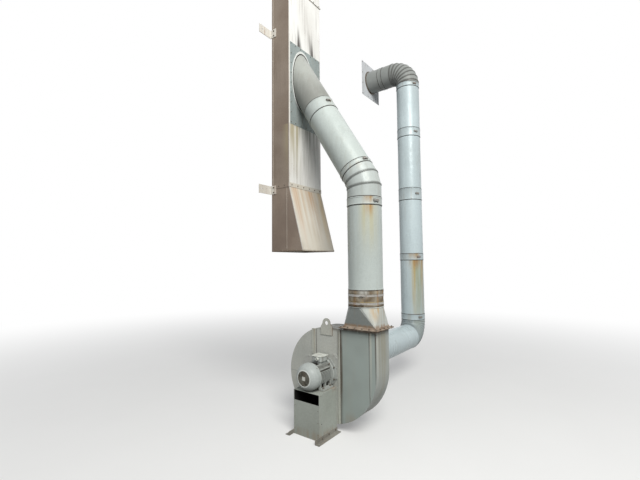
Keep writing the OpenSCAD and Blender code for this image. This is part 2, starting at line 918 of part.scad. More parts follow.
// Turned over, the elbow bends down from the riser and back towards the fan
module bottom_elbow() {
    color("silver")
        translate([0, suction_y, bottom_start_z - bend_tail])
            rotate([0, 0, 90]) mirror([0, 0, 1])
                gored_elbow(bottom_elbow_rc, 90, 9, bend_tail, bend_tail);
}

module suction_riser() {
    color("silver")
        translate([0, suction_y, bottom_start_z]) tube(duct_r, duct_t, top_start_z - bottom_start_z);
}

suction_clamp_z = [bottom_start_z + 22, 1780, 2770, 3765, top_start_z + 4];
suction_clamp_w = [80, 95, 180, 130, 67];
spigot_clamp_x = -430;

module suction_clamps() {
    color("gray") {
        for (i = [0 : len(suction_clamp_z) - 1]) {
            translate([0, suction_y, suction_clamp_z[i]]) clamp_band(suction_clamp_w[i], bead_w, -30);
        }
        translate([spigot_clamp_x, suction_y, spigot_z]) rotate([0, -90, 0]) clamp_band(60, bead_w, 100);
    }
}

module top_elbow() {
    color("silver")
        translate([0, suction_y, top_start_z + bend_tail])
            gored_elbow(top_elbow_rc, 90, 8, bend_tail, bend_tail);
}

module wall_spigot() {
    start = -top_run;
    spigot_l = wall_x - top_run - panel_t;
    color("silver")
        translate([start, suction_y, spigot_z])
            rotate([0, -90, 0]) tube(duct_r, spigot_t, spigot_l);
}

module wall_plate() {
    color("gainsboro") difference() {
        translate([wall_plane, suction_y - wall_plate_w / 2, spigot_z - wall_plate_w / 2])
            cube([panel_t, wall_plate_w, wall_plate_w]);
        translate([wall_plane - cut, suction_y, spigot_z])
            rotate([0, 90, 0]) cylinder(r = duct_r - spigot_t, h = panel_t + 2 * cut);
    }
}

foot_rails();
base_sheet();
pedestal_shell();
pedestal_top();
motor_rails();
motor_frame();
drive_end_shield();
fan_cowl();
cowl_grille();
terminal_box();
terminal_box_lid();
cable_gland();
casing_motor_plate();
casing_inlet_plate();
scroll_wrap();
motor_cover_plate();
casing_bars();
lifting_lug();
outlet_frame();
transition_frame();
transition_hood();
flexible_sleeve();
sleeve_clamps();
riser_duct();
riser_clamp();
lower_elbow();
elbow_clamp();
inclined_duct();
upper_clamp();
entry_piece();
blanking_panel();
stack_duct();
stack_top_length();
stack_hood();
hood_strap();
wall_brackets();
inlet_collar();
inlet_duct();
bottom_elbow();
suction_riser();
suction_clamps();
top_elbow();
wall_spigot();
wall_plate();
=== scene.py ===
"""Looks of a direct-drive extraction fan with its two duct lines and wall stack.

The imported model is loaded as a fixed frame. Round ducts, elbows, bands and the
motor's turned pieces are worked out as numpy surfaces that stand for their
solids. The folded sheet pieces keep their solids and get finishes and fixings.
All lengths are in metres: +Z is up, the shaft runs along +Y and the wall is at -X.
"""

from __future__ import annotations

import logging
import math
from collections.abc import Callable, Iterable
from dataclasses import dataclass, field
from enum import Enum

import bmesh
import bpy
import numpy as np
from mathutils import Matrix, Vector

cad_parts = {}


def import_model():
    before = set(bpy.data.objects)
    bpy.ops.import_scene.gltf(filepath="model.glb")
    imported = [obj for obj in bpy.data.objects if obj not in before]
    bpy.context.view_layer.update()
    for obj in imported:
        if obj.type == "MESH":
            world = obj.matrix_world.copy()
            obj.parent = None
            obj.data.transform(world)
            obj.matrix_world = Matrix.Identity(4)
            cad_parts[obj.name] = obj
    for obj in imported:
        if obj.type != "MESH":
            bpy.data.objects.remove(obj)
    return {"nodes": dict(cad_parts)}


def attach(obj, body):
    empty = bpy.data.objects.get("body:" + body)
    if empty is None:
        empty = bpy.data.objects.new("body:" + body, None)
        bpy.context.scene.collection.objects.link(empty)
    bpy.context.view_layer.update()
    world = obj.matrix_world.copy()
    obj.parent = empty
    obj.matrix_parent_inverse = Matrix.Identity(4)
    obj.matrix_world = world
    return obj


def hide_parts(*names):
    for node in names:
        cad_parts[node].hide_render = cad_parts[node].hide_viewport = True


log = logging.getLogger("extraction_fan")

Colour = tuple[float, float, float]
Point = tuple[float, float, float]
Steps = list[tuple[float, float]]
Slab = tuple[float, float, float, float]
Socket = bpy.types.NodeSocket

TAU = 2 * math.pi
SIDES = (-1, 1)
UPWARD: Point = (0, 0, 1)
OFF_WALL: Point = (1, 0, 0)
MOTOR_SIDE: Point = (0, -1, 0)

SHAFT_Z = 0.568
PLATE_Y = 0.148
CASING_W = 0.275
CASING_MID_Y = PLATE_Y + CASING_W / 2
CASING_BACK_Y = PLATE_Y + CASING_W
DUCT_R = 0.178
STACK_FRONT = -0.384
HOOD_TOP = 2.559
HOOD_LOW = 1.828
HOOD_FLARE = 0.197
SPECULAR = 0.18

Head = tuple[float, float]
# Hexagon heads: width across the flats, and height.
HEAD_8: Head = (0.008, 0.003)
HEAD_10_LOW: Head = (0.010, 0.004)
HEAD_10: Head = (0.010, 0.005)
HEAD_11: Head = (0.011, 0.006)
HEAD_13: Head = (0.013, 0.007)
HEAD_13_HIGH: Head = (0.013, 0.008)
HEAD_17: Head = (0.017, 0.009)


@dataclass(frozen=True)
class Place:
    """A local frame: an origin and three unit directions."""

    origin: np.ndarray
    u: np.ndarray
    v: np.ndarray
    w: np.ndarray

    @classmethod
    def facing(cls, origin: Point, axis: Point, side: Point | None = None) -> Place:
        """Frame with w along an axis and u as near as can be to a side.

        Args:
            origin: The frame's origin.
            axis: Direction of w.
            side: Rough direction of u. When none is given it is X, or Y for an axis along X.

        Returns:
            The frame.
        """
        w = np.array(axis, float)
        w = w / np.linalg.norm(w)
        if side is None:
            side = (0, 1, 0) if abs(w[0]) > 0.9 else (1, 0, 0)
        u = np.array(side, float)
        u = u - w * (u @ w)
        u = u / np.linalg.norm(u)
        return cls(np.array(origin, float), u, np.cross(w, u), w)

    def at(self, a: np.ndarray | float, b: np.ndarray | float, c: np.ndarray | float) -> np.ndarray:
        """Points at the local coordinates a, b and c, with X, Y and Z in the last axis."""
        a, b, c = np.broadcast_arrays(a, b, c)
        return self.origin + a[..., None] * self.u + b[..., None] * self.v + c[..., None] * self.w

    def polar(self, r: np.ndarray, theta: np.ndarray, s: np.ndarray | float) -> np.ndarray:
        """Points at radius r and angle theta about w, at height s along it."""
        return self.at(r * np.cos(theta), r * np.sin(theta), s)

    def moved(self, a: float, b: float, c: float) -> Place:
        """The same directions at the local point a, b, c."""
        return Place(self.at(a, b, c), self.u, self.v, self.w)

    def turned(self, angle: float) -> Place:
        """The frame turned about w by an angle in radians."""
        c, s = math.cos(angle), math.sin(angle)
        return Place(self.origin, self.u * c + self.v * s, self.v * c - self.u * s, self.w)

    def outward(self, angle: float, radius: float) -> Place:
        """Frame on a cylinder about w: its w points outwards, its v along the old w."""
        t = self.turned(angle)
        return Place(t.origin + t.u * radius, t.v, self.w, t.u)

    def along_u(self, a: float, b: float, c: float) -> Place:
        """Frame at the local point a, b, c whose w runs along this frame's u."""
        return Place(self.at(a, b, c), self.v, self.w, self.u)


def ring_angles(count: int) -> np.ndarray:
    """Angles of a full turn in one row, without the end that repeats the start."""
    return np.linspace(0, TAU, count, endpoint=False)[None, :]


def bolt_circle(count: int, radius: float) -> Steps:
    """Spots evenly spaced on a circle, the first one half a step round."""
    angles = ((np.arange(count) + 0.5) * TAU / count).tolist()
    return [(radius * math.cos(a), radius * math.sin(a)) for a in angles]


def revolve(profile: np.ndarray, place: Place, count: int = 96) -> np.ndarray:
    """Surface of revolution: a point is at height s and radius r, turned by theta.

    Args:
        profile: Rows of height along the axis and radius.
        place: Frame whose w is the axis.
        count: Points in a turn.

    Returns:
        Grid of points, one row for each profile row.
    """
    return place.polar(profile[:, 1:], ring_angles(count), profile[:, :1])


def rounded_steps(steps: Steps, bend: float) -> np.ndarray:
    """Profile through corner points, each corner cut back and rounded.

    A corner becomes a quadratic curve between the two points that lie one
    bend length before and after it.

    Args:
        steps: Corner points.
        bend: Length that the rounding takes from each side.

    Returns:
        Rows of points.
    """
    p = np.array(steps, float)
    rows = [p[:1]]
    t = np.linspace(0, 1, 4)[:, None]
    for before, corner, after in zip(p[:-2], p[1:-1], p[2:]):
        a, b = before - corner, after - corner
        la, lb = np.linalg.norm(a), np.linalg.norm(b)
        start = corner + a / la * min(bend, la / 2)
        end = corner + b / lb * min(bend, lb / 2)
        rows.append((1 - t) ** 2 * start + 2 * t * (1 - t) * corner + t**2 * end)
    return np.concatenate([*rows, p[-1:]])


class Form:
    """Points and faces that are gathered into one mesh."""

    def __init__(self) -> None:
        """Starts empty."""
        self.points: list[np.ndarray] = []
        self.marks: list[np.ndarray] = []
        self.faces: list[tuple[int, ...]] = []
        self.count = 0

    def grid(self, points: np.ndarray, rows_close: bool = False, cols_close: bool = True,
             caps: bool = False, mark: np.ndarray | None = None) -> Form:
        """Adds a grid of points as quads between neighbouring rows and columns.

        Args:
            points: Rows by columns by three.
            rows_close: Whether the last row joins the first.
            cols_close: Whether the last column joins the first.
            caps: Whether the first and last rows are filled.
            mark: Grime of each row, from 0 to 1.

        Returns:
            The form itself.
        """
        rows, cols = points.shape[:2]
        start = self.count
        self.points.append(points.reshape(-1, 3))
        self.marks.append(np.repeat(np.zeros(rows) if mark is None else mark, cols))
        self.count += rows * cols
        i = np.arange(rows if rows_close else rows - 1)[:, None]
        j = np.arange(cols if cols_close else cols - 1)[None, :]
        i2, j2 = (i + 1) % rows, (j + 1) % cols
        quads = np.stack([i * cols + j, i * cols + j2, i2 * cols + j2, i2 * cols + j], -1)
        self.faces += map(tuple, (quads.reshape(-1, 4) + start).tolist())
        if caps:
            self.faces.append(tuple(range(start + cols - 1, start - 1, -1)))
            self.faces.append(tuple(range(start + (rows - 1) * cols, start + rows * cols)))
        return self

    def prism(self, outline: np.ndarray, place: Place, depth: float) -> Form:
        """Adds an outline in u and v, carried along w from 0 to a depth, with its ends."""
        w = np.array([0.0, depth])[:, None]
        return self.grid(place.at(outline[None, :, 0], outline[None, :, 1], w), caps=True)

    def slab(self, place: Place, a: float, b: float, c: float, trim: float = 0.0) -> Form:
        """Adds a block a by b by c that stands centred on u and v.

        Args:
            place: Frame of the block's foot.
            a: Size along u.
            b: Size along v.
            c: Size along w.
            trim: Length cut off each upright corner.

        Returns:
            The form itself.
        """
        x, y, t = a / 2, b / 2, trim
        outline = np.array([(-x + t, -y), (x - t, -y), (x, -y + t), (x, y - t),
                            (x - t, y), (-x + t, y), (-x, y - t), (-x, -y + t)])
        return self.prism(outline if trim else outline[::2], place, c)

    def turned(self, steps: Steps, place: Place, count: int = 96, bend: float = 0.0,
               loop: bool = False) -> Form:
        """Adds a revolved profile.

        Args:
            steps: Height and radius of each corner.
            place: Frame whose w is the axis.
            count: Points in a turn.
            bend: Rounding length of the corners.
            loop: Whether the profile closes on itself.

        Returns:
            The form itself.
        """
        profile = rounded_steps(steps, bend) if bend else np.array(steps, float)
        return self.grid(revolve(profile, place, count), rows_close=loop)

    def rod(self, place: Place, radius: float, length: float, count: int = 12, bend: float = 0.0) -> Form:
        """Adds a solid bar of round section, or of few sides, that starts at the frame."""
        return self.turned([(0, 0), (0, radius), (length, radius), (length, 0)], place, count, bend)

    def bolt(self, place: Place, across: float, height: float) -> Form:
        """Adds a washer and a hexagon head whose top edge is cut at an angle.

        Args:
            place: Frame under the washer, its w outwards.
            across: Width across the flats.
            height: Height of the head over the washer.

        Returns:
            The form itself.
        """
        r, low, high = across / math.sqrt(3), 0.0025, 0.0025 + height
        self.rod(place, 1.25 * r, low, 16)
        head = [(low, 0), (low, r), (low + 0.8 * height, r), (high, 0.82 * r), (high, 0)]
        return self.turned(head, place, 6)

    def rivet(self, place: Place, radius: float) -> Form:
        """Adds a low domed rivet head."""
        t = np.linspace(0, math.pi / 2, 4)
        return self.grid(revolve(np.stack([0.55 * radius * np.sin(t), radius * np.cos(t)], 1), place, 10))

    def fix(self, kind: Callable[..., Form], spots: Iterable[Point], axis: Point, *sizes: float) -> Form:
        """Adds a bolt or a rivet at each spot.

        Args:
            kind: Form.bolt or Form.rivet.
            spots: Points under the heads.
            axis: Direction that the heads point in.
            sizes: The fixing's own sizes.

        Returns:
            The form itself.
        """
        for spot in spots:
            kind(self, Place.facing(spot, axis), *sizes)
        return self

    def object(self, name: str, sharp_deg: float = 32.0, bevel: float = 0.0,
               wall: float = 0.0) -> bpy.types.Object:
        """Makes the mesh object: doubles merged, faces outwards, sharp by angle.

        Args:
            name: The piece's name.
            sharp_deg: Angle past which an edge stays sharp.
            bevel: Width of a Bevel modifier, or 0 for none.
            wall: Thickness of a Solidify modifier, inwards, or 0 for none.

        Returns:
            The object, linked to the scene.
        """
        mesh = bpy.data.meshes.new(name)
        mesh.from_pydata(np.concatenate(self.points).tolist(), [], self.faces)
        mesh.attributes.new("grime", "FLOAT", "POINT").data.foreach_set("value", np.concatenate(self.marks))
        bm = bmesh.new()
        bm.from_mesh(mesh)
        bmesh.ops.remove_doubles(bm, verts=bm.verts, dist=1e-5)
        bmesh.ops.dissolve_degenerate(bm, edges=bm.edges, dist=1e-6)
        bmesh.ops.recalc_face_normals(bm, faces=bm.faces)
        bm.to_mesh(mesh)
        bm.free()
        mesh.shade_smooth()
        mesh.set_sharp_from_angle(angle=math.radians(sharp_deg))
        obj = bpy.data.objects.new(name, mesh)
        bpy.context.scene.collection.objects.link(obj)
        if wall:
            m = obj.modifiers.new("wall", "SOLIDIFY")
            m.thickness, m.offset = wall, -1
        if bevel:
            add_bevel(obj, bevel)
        return obj


def add_bevel(obj: bpy.types.Object, width: float) -> None:
    """Rounds an object's sharp edges, with hardened normals.

    Args:
        obj: The object.
        width: Width of the rounding.
    """
    m = obj.modifiers.new("soft_edges", "BEVEL")
    m.width, m.segments, m.limit_method = width, 2, "ANGLE"
    m.angle_limit, m.harden_normals = math.radians(35), True
    m.use_clamp_overlap = True


class Nodes:
    """A node tree, with short ways to add nodes to it."""

    def __init__(self, owner: bpy.types.ID) -> None:
        """Clears the owner's node tree.

        Args:
            owner: A material or a world.
        """
        owner.use_nodes = True
        self.tree = owner.node_tree
        self.tree.nodes.clear()

    def feed(self, socket: Socket, value: object) -> None:
        """Feeds an input.

        Args:
            socket: The input.
            value: A socket to link, or a value. Three numbers make an opaque colour.
        """
        if isinstance(value, Socket):
            self.tree.links.new(value, socket)
        elif isinstance(value, tuple) and len(value) == 3 and socket.type == "RGBA":
            socket.default_value = (*value, 1.0)
        else:
            socket.default_value = value

    def node(self, kind: str, feeds: dict[int | str, object] | None = None,
             **options: object) -> bpy.types.Node:
        """Adds a node.

        Args:
            kind: The node's type.
            feeds: Sockets and values for its inputs.
            options: Settings of the node itself.

        Returns:
            The node.
        """
        node = self.tree.nodes.new(kind)
        for key, option in options.items():
            setattr(node, key, option)
        for key, value in (feeds or {}).items():
            self.feed(node.inputs[key], value)
        return node

    def math(self, how: str, a: object, b: object = 0.0) -> Socket:
        """Math node of the named operation on a and b."""
        return self.node("ShaderNodeMath", {0: a, 1: b}, operation=how).outputs[0]

    def minus(self, a: object, b: object) -> Socket:
        """Difference of a and b."""
        return self.math("SUBTRACT", a, b)

    def product(self, *values: object) -> object:
        """Product of all the values."""
        total = values[0]
        for value in values[1:]:
            total = self.math("MULTIPLY", total, value)
        return total

    def distance(self, a: object, b: object) -> Socket:
        """Root of the sum of both squares."""
        return self.math("SQRT", self.math("ADD", self.product(a, a), self.product(b, b)))

    def seen(self) -> Socket:
        """1 on what the eye sees straight, mirrored or through glass, 0 on other light."""
        path = self.node("ShaderNodeLightPath").outputs
        straight = self.math("MAXIMUM", path["Is Camera Ray"], path["Is Glossy Ray"])
        return self.math("MAXIMUM", straight, path["Is Transmission Ray"])


class Shader(Nodes):
    """A material's node tree, built on object coordinates."""

    def __init__(self, name: str) -> None:
        """Starts a material with an output and a Principled shader.

        Args:
            name: The material's name.
        """
        self.material = bpy.data.materials.new(name)
        super().__init__(self.material)
        self.bsdf = self.node("ShaderNodeBsdfPrincipled")
        self.out = self.node("ShaderNodeOutputMaterial", {0: self.bsdf.outputs[0]})
        self.coord = self.node("ShaderNodeTexCoord").outputs["Object"]
        self.x, self.y, self.z = self.node("ShaderNodeSeparateXYZ", {0: self.coord}).outputs

    def step(self, value: object, low: float, high: float, out_low: float = 0.0,
             out_high: float = 1.0) -> Socket:
        """Smooth step of a value.

        Args:
            value: The value.
            low: Where the step starts.
            high: Where it ends, which may lie below its start.
            out_low: Result at the start.
            out_high: Result at the end.

        Returns:
            The result.
        """
        if low > high:
            low, high, out_low, out_high = high, low, out_high, out_low
        feeds = {"Value": value, "From Min": low, "From Max": high, "To Min": out_low, "To Max": out_high}
        return self.node("ShaderNodeMapRange", feeds, interpolation_type="SMOOTHSTEP").outputs["Result"]

    def noise(self, scale: float, detail: float = 4.0, stretch: Point = (1, 1, 1),
              shift: Point = (0, 0, 0)) -> Socket:
        """Noise over stretched and shifted coordinates.

        Args:
            scale: Waves per metre.
            detail: Octaves.
            stretch: Factor of each coordinate.
            shift: Shift of each coordinate.

        Returns:
            Noise from 0 to 1.
        """
        feeds = {"Vector": self.coord, "Scale": stretch, "Location": shift}
        place = self.node("ShaderNodeMapping", feeds).outputs[0]
        feeds = {"Vector": place, "Scale": scale, "Detail": detail}
        return self.node("ShaderNodeTexNoise", feeds).outputs["Fac"]

    def cells(self, scale: float) -> Socket:
        """Random grey of each Voronoi cell, as zinc spangle has."""
        cell = self.node("ShaderNodeTexVoronoi", {"Vector": self.coord, "Scale": scale})
        return self.node("ShaderNodeSeparateColor", {0: cell.outputs["Color"]}).outputs[0]

    def grime(self) -> Socket:
        """The mesh's own grime, which grows towards its grooves."""
        return self.node("ShaderNodeAttribute", attribute_name="grime").outputs["Fac"]

    def mix(self, share: object, a: object, b: object) -> Socket:
        """Colour a turned towards b by a share."""
        return self.node("ShaderNodeMix", {0: share, 6: a, 7: b}, data_type="RGBA").outputs[2]

    def darker(self, colour: object, amount: object) -> Socket:
        """Colour times a grey factor."""
        feeds = {0: 1.0, 6: colour, 7: amount}
        return self.node("ShaderNodeMix", feeds, data_type="RGBA", blend_type="MULTIPLY").outputs[2]

    def bump(self, height: object, strength: float, distance: float,
             under: Socket | None = None) -> Socket:
        """Bumped normal.

        Args:
            height: Height from 0 to 1.
            strength: Strength from 0 to 1.
            distance: Length that a height of 1 stands for.
            under: Normal below it, or None for the mesh's own.

        Returns:
            The normal.
        """
        feeds = {"Strength": strength, "Distance": distance, "Height": height}
        if under is not None:
            feeds["Normal"] = under
        return self.node("ShaderNodeBump", feeds).outputs[0]

    def finish(self, colour: object, rough: object, metal: float,
               normal: Socket | None) -> bpy.types.Material:
        """Feeds the shader's inputs.

        Args:
            colour: Base colour.
            rough: Roughness.
            metal: Share of metal.
            normal: Bumped normal, or None for the mesh's own.

        Returns:
            The material.
        """
        feeds = {"Base Color": colour, "Roughness": rough, "Metallic": metal,
                 "Specular IOR Level": SPECULAR}
        if normal is not None:
            feeds["Normal"] = normal
        for key, value in feeds.items():
            self.feed(self.bsdf.inputs[key], value)
        return self.material


class Flow(Enum):
    """Which way a stain has spread from its source level."""

    DOWN = -1
    UP = 1
    RING = 0


RUST: Colour = (0.27, 0.115, 0.045)
OCHRE: Colour = (0.47, 0.30, 0.12)
# Soot: real on the stack, a painted shadow under the motor and the cowl.
SOOT_AND_SHADOW: Colour = (0.055, 0.045, 0.04)
DUST: Colour = (0.30, 0.265, 0.21)
EDGE_RUST: Colour = (0.075, 0.052, 0.034)
# Painted shade inside the pedestal.
PAINTED_INSIDE_SHADE: Colour = (0.022, 0.021, 0.020)

# Noises of the coats, in waves per metre.
MOTTLE_WAVES = 60
SPANGLE_WAVES = 75
STREAK_WAVES = 26
PATCH_WAVES = 5
SPECK_WAVES = 95
SPECK_PATCH_WAVES = 4
SMEAR_WAVES = 9
DENT_WAVES = 5.5
TOOTH_WAVES = 240

# Where steps over a noise or a height start and end.
TONE_STEP = (0.35, 0.68)
STREAK_STEP = (0.36, 0.60)
STAIN_HEAD = (-0.012, 0.004)


@dataclass(frozen=True)
class Stain:
    """A run of rust or dirt, or a painted shadow or highlight, from a level, near one upright line or all
    round.

    A line is an X and a Y. Without an X it holds at any X, as on a sloping front.
    """

    level: float
    reach: float
    colour: Colour = RUST
    amount: float = 0.8
    flow: Flow = Flow.DOWN
    line: tuple[float | None, float] | None = None
    width: float = 0.1
    lean: float = 0.0
    streaky: float = 1.0

    def mask(self, s: Shader, streaks: Socket) -> Socket:
        """Fade along Z, times the fade sideways from the line, times upright streaks.

        Args:
            s: The shader that it is built in.
            streaks: Noise stretched along Z.

        Returns:
            Mask from 0 to the stain's amount.
        """
        above = s.minus(s.z, self.level)
        if self.flow is Flow.RING:
            fade = s.step(s.math("ABSOLUTE", above), self.reach, 0.2 * self.reach)
        else:
            off = s.product(above, float(self.flow.value))
            fade = s.product(s.step(off, self.reach, 0.0), s.step(off, *STAIN_HEAD))
        parts = [self.amount, fade]
        if self.line is not None:
            x, y = self.line
            dx = 0.0 if x is None else s.minus(s.x, x)
            dy = s.minus(s.minus(s.y, y), s.product(above, self.lean))
            parts.append(s.step(s.distance(dx, dy), self.width, 0.25 * self.width))
        parts.append(s.step(streaks, *STREAK_STEP, 1 - self.streaky))
        return s.product(*parts)


@dataclass(frozen=True)
class Coat:
    """Painted or galvanised sheet with its wear.

    The colour is two tones mixed by broad noise, mottled by fine noise, run down by upright dirt streaks,
    with stains and rust specks over them; some stains are painted shadows.
    """

    name: str
    tone: Colour
    deep: Colour
    rough: float = 0.5
    metal: float = 0.0
    broad: float = 2.2
    dirt: Colour = DUST
    dirt_amount: float = 0.25
    specks: float = 0.15
    spangle: float = 0.0
    mottle: float = 0.06
    dents: float = 0.25
    groove: Colour = (0.05, 0.045, 0.04)
    grain: Point = (1, 1, 0.055)
    stains: tuple[Stain, ...] = ()

    def body_colour(self, s: Shader) -> Socket:
        """Clean colour before dirt: broad and fine tones, and spangle.

        Args:
            s: The shader that it is built in.

        Returns:
            The colour.
        """
        broad = s.step(s.noise(self.broad, 3), *TONE_STEP)
        fine = s.step(s.noise(MOTTLE_WAVES, 5), 0.3, 0.7, 1 - self.mottle, 1 + 0.8 * self.mottle)
        colour = s.darker(s.mix(broad, self.tone, self.deep), fine)
        if self.spangle:
            cells = s.step(s.cells(SPANGLE_WAVES), 0, 1, 1 - self.spangle, 1 + self.spangle)
            colour = s.darker(colour, cells)
        return colour

    def soiled(self, s: Shader, colour: object) -> Socket:
        """Adds streaks, stains and specks over a colour.

        Args:
            s: The shader that it is built in.
            colour: The clean colour.

        Returns:
            The soiled colour.
        """
        streaks = s.noise(STREAK_WAVES, 4, self.grain)
        patches = s.noise(PATCH_WAVES, 4, (1, 1, 0.5), (3, 1, 7))
        share = s.product(s.step(streaks, 0.46, 0.66), s.step(patches, 0.38, 0.66), self.dirt_amount)
        colour = s.mix(share, colour, self.dirt)
        colour = s.mix(s.product(s.grime(), 0.9), colour, self.groove)
        for stain in self.stains:
            colour = s.mix(stain.mask(s, streaks), colour, stain.colour)
        if self.specks:
            spots = s.step(s.noise(SPECK_WAVES, 3, shift=(5, 5, 5)), 0.66, 0.72)
            patch = s.step(s.noise(SPECK_PATCH_WAVES, 2, shift=(9, 2, 4)), 0.45, 0.62)
            share = s.math("MINIMUM", s.product(spots, patch, self.specks * 4), 0.9)
            colour = s.mix(share, colour, RUST)
        return colour

    def normal(self, s: Shader) -> Socket:
        """Soft dents of handled sheet, and a fine tooth."""
        broad = s.bump(s.noise(DENT_WAVES, 2, shift=(1, 8, 3)), self.dents, 0.012)
        return s.bump(s.noise(TOOTH_WAVES, 3), 0.12, 0.0008, broad)

    def build(self) -> bpy.types.Material:
        """Makes the material, or returns it if it is there already."""
        name = f"{self.name}_finish"
        made = bpy.data.materials.get(name)
        if made is not None:
            return made
        s = Shader(name)
        smears = s.noise(SMEAR_WAVES, 4, (1, 1, 0.4), (2, 2, 2))
        rough = s.step(smears, 0.3, 0.7, self.rough - 0.08, self.rough + 0.12)
        return s.finish(self.soiled(s, self.body_colour(s)), rough, self.metal, self.normal(s))


@dataclass(frozen=True)
class SplitCoat(Coat):
    """Coat that has another colour past a border in X."""

    border: float = 0.0
    beyond: Colour = (0.5, 0.5, 0.5)
    beyond_deep: Colour = (0.4, 0.4, 0.4)

    def body_colour(self, s: Shader) -> Socket:
        """The coat's own colour, and the other one where X is past the border.

        Args:
            s: The shader that it is built in.

        Returns:
            The colour.
        """
        other = s.mix(s.step(s.noise(self.broad, 3), *TONE_STEP), self.beyond, self.beyond_deep)
        share = s.step(s.x, self.border - 0.002, self.border + 0.002)
        return s.mix(share, super().body_colour(s), other)


@dataclass(frozen=True)
class TwoFaceCoat(Coat):
    """Coat whose faces that look along +X take another colour. On the stack, its hood and the transition
    the +X colour is a painted lit colour, with a painted sky reflection on the stack, and the other faces
    carry a painted shade of the same paint; on the lug the +X faces carry a painted shadow; on the bars
    they are rust.

    The share of the second colour is a smooth step of the face's normal in X.
    Where it is told the front corners' X, a strip along them is painted pale as a highlight on the corner's
    fold. The strip leans out with the hood below the hood's top.
    """

    front_tone: Colour = (0.8, 0.8, 0.78)
    front_deep: Colour = (0.7, 0.69, 0.66)
    corner_x: float | None = None
    corner_highlight: Colour = (0.74, 0.72, 0.67)

    def body_colour(self, s: Shader) -> Socket:
        """Side colour, and the front colour where the normal points along +X; except on the bars this split
        is painted light and shade.

        Args:
            s: The shader that it is built in.

        Returns:
            The colour.
        """
        side = super().body_colour(s)
        front = s.mix(s.step(s.noise(3, 3, (1, 1, 0.4)), 0.35, 0.7), self.front_tone, self.front_deep)
        normal = s.node("ShaderNodeNewGeometry").outputs["True Normal"]
        normal_x = s.node("ShaderNodeSeparateXYZ", {0: normal}).outputs[0]
        if self.corner_x is not None:
            drop = s.math("MAXIMUM", s.minus(HOOD_TOP, s.z), 0.0)
            ahead = s.minus(s.x, s.product(drop, HOOD_FLARE / (HOOD_TOP - HOOD_LOW)))
            # Painted highlight along the front corner's fold.
            fold_highlight = s.product(s.step(ahead, self.corner_x - 0.014, self.corner_x - 0.010), 0.8)
            side = s.mix(fold_highlight, side, self.corner_highlight)
        # Painted light and shade split by the normal: a lit front on the stack, hood and transition, a
        # shadowed front on the lug, a rusty front on the bars.
        return s.mix(s.step(normal_x, 0.18, 0.32), side, front)


@dataclass(frozen=True)
class HollowCoat(Coat):
    """Coat of the pedestal, whose inner faces are darkened as a painted shade."""

    half_x: float = 0.1572
    half_y: float = 0.1452
    roof: float = 0.4298
    blur: float = 0.0005

    def soiled(self, s: Shader, colour: object) -> Socket:
        """The coat's own soil, and a painted shade inside: a product of steps at the inner faces.

        Args:
            s: The shader that it is built in.
            colour: The clean colour.

        Returns:
            The soiled colour.
        """
        x, y = s.math("ABSOLUTE", s.x), s.math("ABSOLUTE", s.y)
        faces = ((x, self.half_x), (y, self.half_y), (s.z, self.roof))
        inside = s.product(*(s.step(away, limit, limit - self.blur) for away, limit in faces))
        # Painted shade on the pedestal's inner faces.
        return s.mix(inside, super().soiled(s, colour), PAINTED_INSIDE_SHADE)


@dataclass(frozen=True)
class AxisCoat(Coat):
    """Coat that turns to another colour towards the shaft's axis.

    It serves for a painted shade between the motor's fins and for a painted highlight on the cowl's lip.
    """

    far: float = 0.1212
    near: float = 0.111
    near_tone: Colour = (0.05, 0.045, 0.038)
    near_share: float = 0.9

    def soiled(self, s: Shader, colour: object) -> Socket:
        """The coat's own soil, then the other colour from the far to the near radius.

        Args:
            s: The shader that it is built in.
            colour: The clean colour.

        Returns:
            The soiled colour.
        """
        away = s.distance(s.x, s.minus(s.z, SHAFT_Z))
        share = s.step(away, self.far, self.near, 0.0, self.near_share)
        # Painted shade between the fins; painted highlight on the cowl's lip.
        return s.mix(share, super().soiled(s, colour), self.near_tone)


